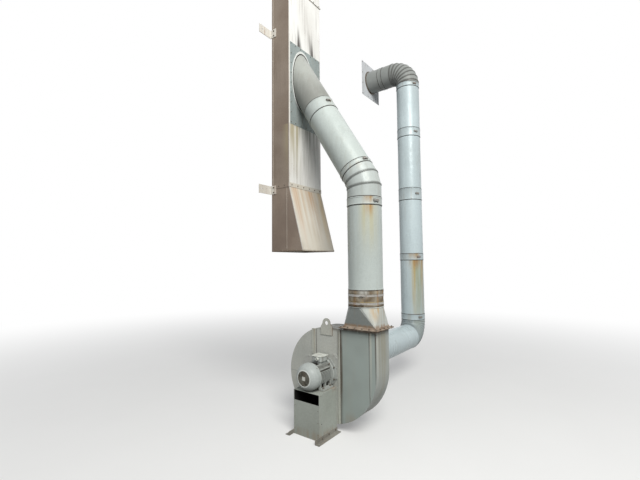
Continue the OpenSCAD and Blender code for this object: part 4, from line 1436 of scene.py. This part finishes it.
    def terminal(self) -> None:
        """Terminal box, the stepped lid with its screws, and the gland."""
        self.frame.keep(Finish.MOTOR, 0.003, "terminal_box")
        w, d, t = self.box_w, self.box_l, self.lid_t
        over, step, inset = self.lid_over, self.lid_step, self.lid_screw_in
        middle = Place.facing((self.box_x, self.box_y + d / 2, self.lid_z), UPWARD)
        form = Form().slab(middle, w + over, d + over, 0.62 * t, 0.024)
        form.slab(middle.moved(0, 0, t / 2), w - step, d - step, t / 2, 0.018)
        for x in SIDES:
            for y in SIDES:
                screw = middle.moved(x * (w / 2 - inset), y * (d / 2 - inset), 0.62 * t)
                form.turned([(0, 0), (0, 0.0062), (0.0028, 0.0055), (0.0028, 0)], screw, 16)
        self.frame.add(form, "stepped_lid", "cowl_paint", Finish.LID, "terminal_box_lid", bevel=0.0012)
        place = Place.facing((self.box_x + self.gland_x, self.box_y, self.gland_z), MOTOR_SIDE)
        nut = [(0.008, 0.008), (0.008, 0.0155), (0.019, 0.0155), (0.022, 0.0140), (0.022, 0.0095),
               (0.012, 0.0085)]
        form = Form().rod(place, self.gland_r, self.gland_hex, 6).turned(nut, place, 32, 0.0006)
        self.frame.add(form, "gland_nut", "cowl_paint", Finish.LID, "cable_gland", bevel=0.0006)
        rubber = [(0.0085, 0), (0.0085, 0.0095), (0.0125, 0.0092), (0.0125, 0)]
        self.frame.add(Form().turned(rubber, place, 24), "gland_rubber", "cowl_paint", Finish.SEAL_AND_GAP_SHADOW)

    def build(self) -> None:
        """Builds the motor."""
        self.frame.keep(Finish.FINS, 0.0009, "motor_frame")
        self.shield()
        self.cowl()
        self.grille()
        self.terminal()


@dataclass
class Casing:
    """Scroll casing with its cover plate, bars, lug and outlet frames.

    An arc of the scroll has a centre in X and Z about the shaft, a radius and
    a start angle, and goes 90 degrees clockwise. A lap seam has an X, a Z, a
    width and a height.
    """

    frame: Frame
    top: float = 0.451
    right: float = 0.619
    outlet_left: float = 0.259
    tongue: float = 0.325
    tongue_r: float = 0.012
    sheet: float = 0.004
    inset: float = 0.0025
    weld_r: float = 0.0024
    frame_z: float = 1.042
    frame_t: float = 0.010
    leg: float = 0.040
    collar_bolts_r: float = 0.198
    laps: tuple[Slab, ...] = ((-0.369, SHAFT_Z - 0.060, 0.184, 0.005), (0.552, 0.700, 0.004, 0.58))
    lap_t: float = 0.0012
    arcs: tuple[tuple[float, float, float, float], ...] = (
        (0.047, 0.058, 0.572, 0), (0.001, -0.051, 0.463, -90), (0.040, -0.051, 0.502, 180))
    cover_bolts: tuple[tuple[float, float], ...] = (
        (-0.262, -0.045), (-0.262, 0.03), (-0.17, -0.045), (0.167, -0.045), (0.167, 0.06),
        (0.167, 0.155), (0.135, 0.183), (-0.05, 0.155), (-0.19, 0.128))

    def path(self, inset: float) -> np.ndarray:
        """Path of the wrap in X and Z about the shaft, from the outlet round to the tongue.

        Three arcs follow each other, with straight lengths between: a point of
        an arc is its centre plus its radius times (cos a, sin a).

        Args:
            inset: Distance inwards.

        Returns:
            Rows of x and z.
        """
        left = self.outlet_left + inset
        parts = [[(self.right - inset, self.top)]]
        for x, z, radius, start in self.arcs:
            a, r = np.radians(np.linspace(start, start - 90, 46)), radius - inset
            parts.append(np.stack([x + r * np.cos(a), z + r * np.sin(a)], 1))
        return np.concatenate([*parts, [(left, self.top - inset), (left, self.tongue)]])

    def wrap(self) -> None:
        """Wrap sheet: the path carried across the casing's width, with its tongue roll."""
        outer, inner = self.path(self.inset), self.path(self.inset + self.sheet)
        low, high = PLATE_Y + self.sheet, CASING_BACK_Y - self.sheet
        x, z = np.moveaxis(np.stack([outer, outer, inner, inner]), -1, 0)
        y = np.array([low, high, high, low])[:, None] + 0 * x
        form = Form().grid(np.stack([x, y, SHAFT_Z + z], -1), rows_close=True, cols_close=False)
        n = len(outer)
        form.faces += [(0, n, 2 * n, 3 * n), (4 * n - 1, 3 * n - 1, 2 * n - 1, n - 1)]
        roll = Place.facing((self.outlet_left + self.sheet, low, SHAFT_Z + self.tongue), (0, 1, 0))
        form.rod(roll, self.tongue_r, high - low, 24)
        self.frame.add(form, "wrap_sheet", "casing_paint", Finish.WRAP, "scroll_wrap", bevel=0.0008)

    def seams(self) -> None:
        """Weld beads where the wrap meets the plates, and the lap seams of the front."""
        form = Form()
        path = self.path(self.inset)[:-2, None, :]
        step = np.gradient(path, axis=0)
        out = np.stack([-step[..., 1], step[..., 0]], -1)
        out /= np.linalg.norm(out, axis=-1, keepdims=True)
        t = ring_angles(8)
        x, z = np.moveaxis(path + self.weld_r * np.cos(t)[..., None] * out, -1, 0)
        for y in (PLATE_Y + self.sheet, CASING_BACK_Y - self.sheet):
            across = y + self.weld_r * np.sin(t) + 0 * x
            form.grid(np.stack([x, across, SHAFT_Z + z], -1), caps=True)
        for x, z, a, b in self.laps:
            form.slab(Place.facing((x, PLATE_Y, z), MOTOR_SIDE), a, b, self.lap_t)
        self.frame.add(form, "casing_weld_beads", "casing_paint", Finish.WRAP)

    def fixings(self) -> None:
        """Bolts of the cover plate, the outlet frames and the inlet collar."""
        spots = [(x, PLATE_Y - 0.005, SHAFT_Z + z) for x, z in self.cover_bolts]
        form = Form().fix(Form.bolt, spots, MOTOR_SIDE, *HEAD_10)
        self.frame.add(form, "cover_bolts", "casing_paint", Finish.COVER)
        out = self.leg / 2 + 0.002
        x0, x1, y0, y1 = self.outlet_left - out, self.right + out, PLATE_Y - out, CASING_BACK_Y + out
        spots = [(x, y) for x in np.linspace(x0, x1, 6).tolist() for y in (y0, y1)]
        spots += [(x, y) for y in np.linspace(y0, y1, 5)[1:-1].tolist() for x in (x0, x1)]
        form = Form()
        for side, head in ((1, HEAD_13_HIGH), (-1, HEAD_13)):
            z = self.frame_z + side * self.frame_t / 2
            form.fix(Form.bolt, [(x, y, z) for x, y in spots], (0, 0, side), *head)
        collar = Place.facing((0, CASING_BACK_Y + 0.008, SHAFT_Z), (0, 1, 0))
        for a, b in bolt_circle(8, self.collar_bolts_r):
            form.bolt(collar.moved(a, b, 0), *HEAD_13)
        self.frame.add(form, "casing_bolts", "rust", Finish.BOLT)

    def build(self) -> None:
        """Builds the casing."""
        keep = self.frame.keep
        keep(Finish.CASING, 0.001, "casing_motor_plate")
        keep(Finish.WRAP, 0.001, "casing_inlet_plate")
        keep(Finish.COVER, 0.001, "motor_cover_plate")
        keep(Finish.BARS, 0.0015, "casing_bars")
        keep(Finish.LUG, 0.0015, "lifting_lug")
        keep(Finish.FRAMES, 0.0012, "outlet_frame", "transition_frame")
        self.wrap()
        self.seams()
        self.fixings()


@dataclass
class DischargeLine:
    """Transition, flexible sleeve, riser, elbow, inclined duct and its entry."""

    frame: Frame
    x: float = 0.439
    y: float = CASING_MID_Y
    width: float = 0.360
    transition_z: float = 1.065
    quarter: int = 18
    skirt: float = 0.023
    bead: float = 0.012
    bead_rise: float = 0.005
    spigot: float = 0.05
    sleeve_z: float = 1.261
    sleeve_columns: int = 220
    sleeve_rows: int = 56
    end_pinch: float = 0.006
    strap_pinch: float = 0.016
    straps_up: tuple[float, ...] = (0.034, 0.112)
    worm_deg: float = -70
    strap_w: float = 0.022
    strap_rise: float = 0.0032
    housing: Slab = (0.032, 0.020, 0.008, 0.004)
    saddle: Slab = (0.018, 0.017, 0.007, 0.004)
    strap_end: Slab = (0.034, 0.013, 0.0025, 0.003)
    worm_r: float = 0.0045
    worm_l: float = 0.026
    crease_r: float = 0.0015
    riser_z: float = 1.428
    clamp_z: float = 2.316
    corner_z: float = 2.525
    lean: float = math.radians(31.6)
    elbow_rc: float = 0.355
    mitres: int = 2
    tail: float = 0.070
    upper_s: float = 1.038
    panel_x: float = -0.380
    riser_band: float = 0.080
    elbow_band: float = 0.050
    upper_band: float = 0.145
    latch_deg: float = -20
    duct: RoundDuct = field(default_factory=RoundDuct)

    @property
    def half(self) -> float:
        """Distance from the elbow's start to the corner of the centre lines."""
        return self.elbow_rc * math.tan(self.lean / 2)

    def riser(self, z: float) -> Place:
        """Frame on the riser's axis at a level."""
        return Place.facing((self.x, self.y, z), UPWARD)

    def incline(self, s: float) -> Place:
        """Frame on the inclined duct's axis, at a distance from the corner."""
        axis = (-math.sin(self.lean), 0, math.cos(self.lean))
        return Place.facing((self.x, self.y, self.corner_z), axis).moved(0, 0, s)

    def transition(self) -> None:
        """Square-to-round transition with its skirt, top bead and spigot.

        Column k has a corner of the rectangle below and a point of the circle
        above; a point between is their mean weighted by the height. Columns of
        one quarter share a corner, so the corners are cones and the sides flat.
        """
        quarter = self.quarter
        theta = np.concatenate([np.linspace(k * TAU / 4, (k + 1) * TAU / 4, quarter) for k in range(4)])
        sign_x = np.repeat([1, -1, -1, 1], quarter)
        sign_y = np.repeat([1, 1, -1, -1], quarter)
        base, end = self.transition_z, self.sleeve_z
        high = end - base - self.bead

        def ring(z: float, share: float, r: float, inset: float = 0) -> np.ndarray:
            """Ring at a level, turned from the rectangle to the circle by a share."""
            x = (1 - share) * sign_x * (self.width / 2 - inset) + share * r * np.cos(theta)
            y = (1 - share) * sign_y * (CASING_W / 2 - inset) + share * r * np.sin(theta)
            return np.stack([self.x + x, self.y + y, z + 0 * x], -1)

        sides = []
        for inset, r in ((0.0003, DUCT_R), (0.0035, DUCT_R - 0.003)):
            side = [ring(base - self.skirt, 0, r, inset)]
            side += [ring(base + high * t, t, r, inset) for t in np.linspace(0, 1, 7).tolist()]
            sides.append(side)
        for t in np.linspace(0, math.pi, 8)[1:-1].tolist():
            level = base + high + self.bead / 2 * (1 - math.cos(t))
            sides[0].append(ring(level, 1, DUCT_R + self.bead_rise * math.sin(t)))
        sides[0] += [ring(end, 1, DUCT_R - 0.0035), ring(end + self.spigot, 1, DUCT_R - 0.004)]
        sides[1] += [ring(end + self.spigot, 1, DUCT_R - 0.006)]
        form = Form().grid(np.stack(sides[0] + sides[1][::-1]), rows_close=True)
        self.frame.add(form, "square_to_round", "casing_paint", Finish.HOOD, "transition_hood",
                       sharp_deg=14, bevel=0.0008)

    def creases(self) -> None:
        """Thin pale lines up the transition's corners, on folds of its cones."""
        form = Form()
        base, top = self.transition_z, self.sleeve_z - self.bead
        t = ring_angles(8)[..., None]
        share = np.linspace(0.02, 0.985, 12)[:, None, None]
        for sx in SIDES:
            for sy in SIDES:
                corner = np.array([self.x + sx * self.width / 2, self.y + sy * CASING_W / 2, base])
                for degrees in (9, 36) if sx > 0 else (36,):
                    a = math.radians(degrees)
                    rim = np.array([self.x + sx * DUCT_R * math.sin(a), self.y + sy * DUCT_R * math.cos(a),
                                    top])
                    line = Place.facing(tuple(corner), tuple(rim - corner), (sx, sy, 0))
                    tube = self.crease_r * (np.cos(t) * line.u + np.sin(t) * line.v)
                    form.grid(corner + share * (rim - corner) + tube, caps=True)
        self.frame.add(form, "transition_creases", "casing_paint", Finish.PALE)

    def sleeve(self) -> None:
        """Wrinkled cloth sleeve, drawn in under its two straps.

        The radius is the duct's, less a pinch near each strap and end, plus
        folds: sin(13 theta + 2 sin(3 theta) + 25 z) and a slower slanting wave,
        both strongest between the straps.
        """
        theta = ring_angles(self.sleeve_columns)
        h = self.riser_z - self.sleeve_z
        z = np.linspace(0, h, self.sleeve_rows)[:, None]
        low, high = (1 - 0.6 * np.exp(-((away / self.end_pinch) ** 2)) for away in (z, h - z))
        free = low * high
        for up in self.straps_up:
            free = free * (1 - np.exp(-(((z - up) / self.strap_pinch) ** 4)))
        folds = np.sin(13 * theta + 2 * np.sin(3 * theta) + 25 * z)
        slant = np.sin(5 * theta - 60 * z + 1.5 * np.sin(2 * theta))
        fine = np.sin(29 * theta + 70 * z + 3 * np.sin(7 * theta))
        r = DUCT_R - 0.0012 + free * (0.0022 + 0.0016 * folds + 0.0014 * slant + 0.0006 * fine)
        form = Form().grid(self.riser(self.sleeve_z).polar(r, theta, z))
        obj = self.frame.add(form, "cloth_sleeve", "sleeve", Finish.SLEEVE, "flexible_sleeve",
                             sharp_deg=60, wall=0.0012)

    def straps(self) -> None:
        """Worm-drive straps: a band with rolled edges, a housing and its screw."""
        r0, w, rise = DUCT_R + 0.0004, self.strap_w / 2, self.strap_rise
        edge = [(w - 0.004, r0 + 0.0018), (w - 0.003, r0 + rise), (w, r0 + rise), (w, r0)]
        steps = [(-s, r) for s, r in edge[::-1]] + edge
        for k, up in enumerate(self.straps_up):
            place = self.riser(self.sleeve_z + up)
            form = Form().turned(steps, place, loop=True)
            at = place.outward(math.radians(self.worm_deg), r0 + 0.001)
            form.slab(at, *self.housing)
            form.slab(at.moved(0.004, 0, 0.007), *self.saddle)
            form.slab(at.moved(0.028, 0, -self.strap_end[2]), *self.strap_end)
            form.rod(at.along_u(-0.020, 0, 0.011), self.worm_r, self.worm_l)
            form.rod(at.along_u(-0.026, 0, 0.011), 0.006, 0.0065, 6)
            self.frame.add(form, f"sleeve_strap_{k + 1}", "clamp", Finish.CLIP, "sleeve_clamps",
                           bevel=0.0004)

    def ducts(self) -> None:
        """Riser with its rolled foot, three-piece elbow and inclined duct."""
        place = self.riser(self.riser_z)
        form = self.duct.straight(place, self.clamp_z - self.riser_z, phase=0.6)
        form.turned([(-0.05, 0.1715), (-0.05, 0.1735), (0.02, 0.1735), (0.02, 0.1715)], place, loop=True)
        rim = [(0, -0.001), (0, 0.0015), (0.004, 0.0022), (0.009, 0.0015), (0.010, -0.001)]
        form.turned([(s, DUCT_R + rise) for s, rise in rim], place, loop=True)
        self.frame.add(form, "riser_pipe", "zinc", Finish.DUCT, "riser_duct")
        bend_z, start = self.corner_z - self.half, self.half + self.tail
        form = self.duct.elbow(self.riser(bend_z), self.elbow_rc, self.lean, self.mitres,
                               bend_z - self.clamp_z, self.tail)
        self.frame.add(form, "three_piece_elbow", "zinc", Finish.BEND, "lower_elbow")
        form = self.duct.straight(self.incline(start), self.upper_s - start, phase=2.2)
        self.frame.add(form, "inclined_pipe", "zinc", Finish.DUCT, "inclined_duct")

    def entry(self) -> None:
        """Entry piece, mitred to the panel, with the seal and the pale rim that follow its cut."""
        place = self.incline(self.upper_s)
        theta = ring_angles(self.duct.columns)

        def cut(r: np.ndarray | float, rise: np.ndarray | float) -> np.ndarray:
            """Distance along the duct of the points at radius r that stand off the panel by a rise."""
            x = place.origin[0] + r * (np.cos(theta) * place.u[0] + np.sin(theta) * place.v[0])
            return (self.panel_x + rise - x) / place.w[0]

        form = self.duct.straight(place, 0, phase=4.0, cut=cut(DUCT_R, 0))
        self.frame.add(form, "entry_pipe", "zinc", Finish.ENTRY, "entry_piece")
        for name, finish, inner, outer, high in (("entry_seal", Finish.SEAL_AND_GAP_SHADOW, -0.0005, 0.0075, 0.0045),
                                                 ("entry_rim", Finish.PALE, 0.0065, 0.0195, 0.0032)):
            rise = np.array([0, high, high, 0])[:, None]
            r = DUCT_R + np.array([inner, inner, outer, outer])[:, None]
            form = Form().grid(place.polar(r, theta, cut(r, rise)), rows_close=True)
            self.frame.add(form, name, "zinc", finish, bevel=0.0008)

    def build(self) -> None:
        """Builds the line."""
        self.transition()
        self.creases()
        self.ducts()
        self.entry()
        self.sleeve()
        self.straps()
        for stem, place, width in (("riser", self.riser(self.clamp_z), self.riser_band),
                                   ("elbow", self.incline(self.half + self.tail), self.elbow_band),
                                   ("upper", self.incline(self.upper_s), self.upper_band)):
            joint = ClampBand(self.frame, place, width, self.latch_deg)
            joint.build(f"{stem}_joint", f"{stem}_clamp", Finish.BAND)


@dataclass
class SuctionLine:
    """Inlet collar and duct, both gored elbows, the riser and the wall spigot.

    A band has its level on the riser and its width.
    """

    frame: Frame
    y: float = 2.514
    bottom_rc: float = 0.230
    bottom_mitres: int = 9
    top_rc: float = 0.268
    top_mitres: int = 8
    tail: float = 0.032
    low_z: float = 0.830
    high_z: float = 4.543
    spigot_z: float = 4.843
    spigot_wall: float = 0.005
    spigot_joint_x: float = -0.430
    wall_x: float = -0.685
    plate_t: float = 0.004
    collar: float = 0.060
    flange: float = 0.040
    flange_t: float = 0.008
    screw_near: float = 0.09
    screw_far: float = 0.275
    bands: tuple[tuple[float, float], ...] = (
        (0.852, 0.080), (1.780, 0.095), (2.770, 0.180), (3.765, 0.130), (4.547, 0.067))
    latch_deg: float = -30
    spigot_band: float = 0.060
    spigot_latch_deg: float = 100
    duct: RoundDuct = field(default_factory=RoundDuct)

    def riser(self, z: float) -> Place:
        """Frame on the riser's axis at a level."""
        return Place.facing((0, self.y, z), UPWARD)

    def spigot(self, x: float) -> Place:
        """Frame on the spigot's axis, its w towards the wall."""
        return Place.facing((x, self.y, self.spigot_z), (-1, 0, 0), UPWARD)

    def inlet(self) -> None:
        """Inlet collar with its flange and the horizontal duct."""
        place = Place.facing((0, CASING_BACK_Y, SHAFT_Z), (0, 1, 0))
        r, bore, out, end = DUCT_R, DUCT_R - self.duct.wall, DUCT_R + self.flange, self.collar
        steps = [(0, bore), (0, out), (self.flange_t, out), (self.flange_t, r + 0.006), (0.012, r + 0.001),
                 (end - 0.004, r), (end, r + 0.0015), (end, bore)]
        form = Form().turned(steps, place, loop=True)
        self.frame.add(form, "flanged_collar", "zinc", Finish.BEND, "inlet_collar", bevel=0.0008)
        length = self.y - self.bottom_rc - self.tail - CASING_BACK_Y
        form = self.duct.straight(place, length, phase=1.0, start=self.collar)
        self.frame.add(form, "inlet_pipe", "zinc", Finish.SUCTION, "inlet_duct")

    def bends(self) -> None:
        """Bottom and top gored elbows, the riser and the spigot in the wall."""
        tail, add = self.tail, self.frame.add
        low = Place.facing((0, self.y, self.low_z - tail), (0, 0, -1), (0, 1, 0))
        form = self.duct.elbow(low, self.bottom_rc, TAU / 4, self.bottom_mitres, tail, tail)
        add(form, "bottom_gored_elbow", "zinc", Finish.SUCTION, "bottom_elbow")
        high = self.riser(self.high_z + tail)
        form = self.duct.elbow(high, self.top_rc, TAU / 4, self.top_mitres, tail, tail)
        add(form, "top_gored_elbow", "zinc", Finish.SHADED_ZINC, "top_elbow")
        form = self.duct.straight(self.riser(self.low_z), self.high_z - self.low_z, phase=3.0)
        add(form, "suction_pipe", "zinc", Finish.SUCTION, "suction_riser")
        start = self.top_rc + tail
        length = -self.wall_x - start - self.plate_t
        form = RoundDuct(wall=self.spigot_wall).straight(self.spigot(-start), length, phase=5.0)
        add(form, "wall_pipe", "zinc", Finish.SHADED_ZINC, "wall_spigot")

    def plate(self) -> None:
        """Wall plate with its screws and the collar round the spigot."""
        self.frame.keep(Finish.PLATE, 0.001, "wall_plate")
        x, near, far = self.wall_x + self.plate_t, self.screw_near, self.screw_far
        spots = {pair for i in (-far, -near, near, far) for j in (-far, far) for pair in ((i, j), (j, i))}
        screws = [(x, self.y + y, self.spigot_z + z) for y, z in sorted(spots)]
        form = Form().fix(Form.bolt, screws, OFF_WALL, *HEAD_10_LOW)
        collar = [(0, 0), (0, 0.018), (0.003, 0.018), (0.006, 0.003), (0.016, 0.002), (0.016, 0)]
        steps = [(s, DUCT_R + 0.0004 + rise) for s, rise in collar]
        form.turned(steps, Place.facing((x, self.y, self.spigot_z), OFF_WALL), loop=True)
        self.frame.add(form, "plate_screws", "plate_white", Finish.BOLT)

    def build(self) -> None:
        """Builds the line."""
        self.inlet()
        self.bends()
        self.plate()
        for k, (z, width) in enumerate(self.bands):
            joint = ClampBand(self.frame, self.riser(z), width, self.latch_deg)
            joint.build(f"suction_joint_{k + 1}", "suction_clamps", Finish.SUCTION_BAND)
        place = self.spigot(self.spigot_joint_x)
        joint = ClampBand(self.frame, place, self.spigot_band, self.spigot_latch_deg)
        joint.build("spigot_joint", "suction_clamps", Finish.SHADED_ZINC)


@dataclass
class Stack:
    """Rectangular stack with its flared hood, strap, brackets and blanking panel."""

    frame: Frame
    back: float = -0.665
    mouth: float = STACK_FRONT + HOOD_FLARE
    y0: float = 0.050
    y1: float = 0.633
    low_z: float = 2.612
    joint_z: float = 4.980
    joint_h: float = 0.026
    top_z: float = 5.600
    rim: float = 0.022
    panel: tuple[float, float] = (3.293, 4.267)
    bracket_zs: tuple[float, ...] = (2.55, 4.45)
    seam: float = 0.0012
    seam_w: float = 0.024
    seam_in: float = 0.013
    fold: float = 0.001
    crease_x: float = -0.438
    crease_w: float = 0.020
    rivet_pitch: float = 0.16
    rivet_r: float = 0.004
    bracket_x: float = -0.63
    bracket_bolt_up: float = 0.028
    strap_xs: tuple[float, ...] = (-0.55, -0.46)

    def seams(self) -> None:
        """Folded seams: strips up the stack's sides and round the hood's mouth."""
        form = Form()
        thick, fold = 2 * self.seam, self.fold
        spans = ((self.low_z, self.joint_z), (self.joint_z + self.joint_h, self.top_z - self.rim))
        for side, y in zip(SIDES, (self.y0, self.y1)):
            rivets = []
            for x in (STACK_FRONT - self.seam_in, self.back + self.seam_in):
                for z0, z1 in spans:
                    form.slab(Place.facing((x, y, z0), UPWARD), self.seam_w, thick, z1 - z0, fold)
                    zs = np.arange(z0 + 0.06, z1 - 0.03, self.rivet_pitch).tolist()
                    rivets += [(x, y + side * self.seam, z) for z in zs]
            crease = Place.facing((self.crease_x, y, HOOD_LOW + 0.026), UPWARD)
            form.slab(crease, self.crease_w, thick, HOOD_TOP - HOOD_LOW - 0.03, fold)
            hem = Place.facing(((self.back + self.mouth) / 2, y, HOOD_LOW), UPWARD)
            form.slab(hem, self.mouth - self.back - 0.004, thick, self.seam_w, fold)
            xs = np.linspace(self.back + 0.03, self.mouth - 0.03, 7).tolist()
            rivets += [(x, y + side * self.seam, HOOD_LOW + self.seam_w / 2) for x in xs]
            form.fix(Form.rivet, rivets, (0, side, 0), self.rivet_r)
        self.frame.add(form, "stack_side_seams", "stack_paint", Finish.FLARE)
        top = Place.facing((STACK_FRONT, (self.y0 + self.y1) / 2, self.top_z - self.rim), UPWARD)
        form = Form().slab(top, thick, self.y1 - self.y0 - 0.002, self.rim, fold)
        self.frame.add(form, "stack_front_seams", "stack_paint", Finish.STACK)

    def fixings(self) -> None:
        """Screws of the panel, strap, joint lip and brackets."""
        x, y0, y1 = STACK_FRONT + 0.004, self.y0, self.y1
        low, high, strap_z = self.panel[0] + 0.02, self.panel[1] - 0.02, HOOD_TOP + 0.025
        spots = [(x, y, z) for y in (y0 + 0.024, y1 - 0.024) for z in np.linspace(low, high, 9).tolist()]
        spots += [(x, y, z) for y in np.linspace(y0 + 0.10, y1 - 0.10, 5).tolist() for z in (low, high)]
        form = Form().fix(Form.bolt, spots, OFF_WALL, *HEAD_8)
        self.frame.add(form, "panel_screws", "panel_zinc", Finish.BOLT)
        form = Form()
        for y in np.linspace(y0 + 0.03, y1 - 0.03, 6).tolist():
            pair = [(x, y, strap_z), (STACK_FRONT + 0.012, y, self.joint_z + 0.012)]
            form.fix(Form.bolt, pair, OFF_WALL, *HEAD_10_LOW)
        for side, y in zip(SIDES, (y0, y1)):
            strap = [(x, y + side * 0.004, strap_z) for x in self.strap_xs]
            form.fix(Form.bolt, strap, (0, side, 0), *HEAD_10_LOW)
            feet = [(self.bracket_x, y + side * 0.006, z + up * self.bracket_bolt_up)
                    for z in self.bracket_zs for up in SIDES]
            form.fix(Form.bolt, feet, (0, side, 0), *HEAD_13)
        self.frame.add(form, "stack_bolts", "stack_paint", Finish.BOLT)

    def build(self) -> None:
        """Builds the stack."""
        keep = self.frame.keep
        keep(Finish.STACK, 0.0015, "stack_duct", "stack_top_length")
        keep(Finish.FLARE, 0.0015, "stack_hood")
        keep(Finish.FLARE, 0.001, "hood_strap")
        keep(Finish.BRACKET, 0.0015, "wall_brackets")
        keep(Finish.PANEL, 0.0008, "blanking_panel")
        self.seams()
        self.fixings()


@dataclass
class Studio:
    """Pale floor, plain backdrop, soft lights and the photo's camera."""

    eye: Point = (2.306, -2.950, 1.700)
    look: Point = (-0.60204, 0.79601, 0.06268)
    roll: float = math.radians(-0.477)
    lens: float = 20.27
    sensor: float = 36.0
    target: Point = (0, 0.8, 2.2)
    lamp_size: float = 5.0

    def floor(self) -> None:
        """Large disc, pale to the eye, that throws less light back at the part."""
        count = 64
        form = Form().grid(Place.facing((0, 0, 0), UPWARD).polar(
            np.array([60.0, 4.0])[:, None], ring_angles(count), -0.001))
        form.faces.append(tuple(range(count, 2 * count)))
        obj = form.object("studio_floor")
        s = Shader("studio_floor_paint")
        seen = s.seen()
        pale = s.mix(s.noise(1.2, 2), (0.76, 0.76, 0.75), (0.80, 0.80, 0.79))
        s.finish(s.mix(seen, (0.36, 0.36, 0.35), pale), 0.9, 0.0, None)
        glow = s.node("ShaderNodeEmission", {"Strength": 1.0}).outputs[0]
        share = s.product(seen, s.step(s.distance(s.x, s.y), 1.5, 11.0, 0.25))
        blend = s.node("ShaderNodeMixShader", {0: share, 1: s.bsdf.outputs[0], 2: glow})
        s.feed(s.out.inputs[0], blend.outputs[0])
        obj.data.materials.append(s.material)

    def world(self) -> None:
        """World that lights softly and shows white to the eye."""
        world = bpy.data.worlds.new("studio")
        n = Nodes(world)
        soft, plain = (n.node("ShaderNodeBackground", {"Color": colour, "Strength": strength}).outputs[0]
                       for colour, strength in (((0.93, 0.96, 1.0), 0.27), ((1, 1, 1), 1.0)))
        mix = n.node("ShaderNodeMixShader", {0: n.seen(), 1: soft, 2: plain})
        n.node("ShaderNodeOutputWorld", {0: mix.outputs[0]})
        bpy.context.scene.world = world

    def lamp(self, name: str, at: Point, watts: float, colour: Colour) -> None:
        """Adds a square area lamp that faces the target.

        Args:
            name: The lamp's name.
            at: Its place.
            watts: Its power.
            colour: Its colour.
        """
        data = bpy.data.lights.new(name, "AREA")
        data.size, data.energy, data.color = self.lamp_size, watts, colour
        obj = bpy.data.objects.new(name, data)
        obj.location = at
        obj.rotation_euler = (Vector(self.target) - Vector(at)).to_track_quat("-Z", "Y").to_euler()
        bpy.context.scene.collection.objects.link(obj)

    def camera(self) -> None:
        """Camera at the fitted eye point, aim and roll."""
        data = bpy.data.cameras.new("camera")
        data.sensor_width, data.lens, data.clip_end = self.sensor, self.lens, 100
        forward = Vector(self.look).normalized()
        right = forward.cross(Vector(UPWARD)).normalized()
        up = right.cross(forward)
        c, s = math.cos(self.roll), math.sin(self.roll)
        right, up = right * c + up * s, up * c - right * s
        turn = Matrix((right, up, -forward)).transposed()
        obj = bpy.data.objects.new("camera", data)
        obj.matrix_world = Matrix.Translation(self.eye) @ turn.to_4x4()
        bpy.context.scene.collection.objects.link(obj)
        bpy.context.scene.camera = obj

    def build(self) -> None:
        """Builds the studio."""
        bpy.context.scene.view_settings.view_transform = "Standard"
        self.floor()
        self.world()
        self.lamp("key", (5.5, -3.8, 8.0), 1040, (1.0, 0.99, 0.96))
        self.lamp("fill", (-3.5, -6.0, 5.0), 30, (0.95, 0.97, 1.0))
        self.camera()


def main() -> None:
    """Builds the whole plant and the studio round it."""
    logging.basicConfig(level=logging.INFO, format="%(name)s: %(message)s")
    frame = Frame()
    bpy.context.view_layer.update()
    for group in (Pedestal, Motor, Casing, DischargeLine, SuctionLine, Stack):
        group(frame).build()
    Studio().build()


if __name__ == "__main__":
    main()
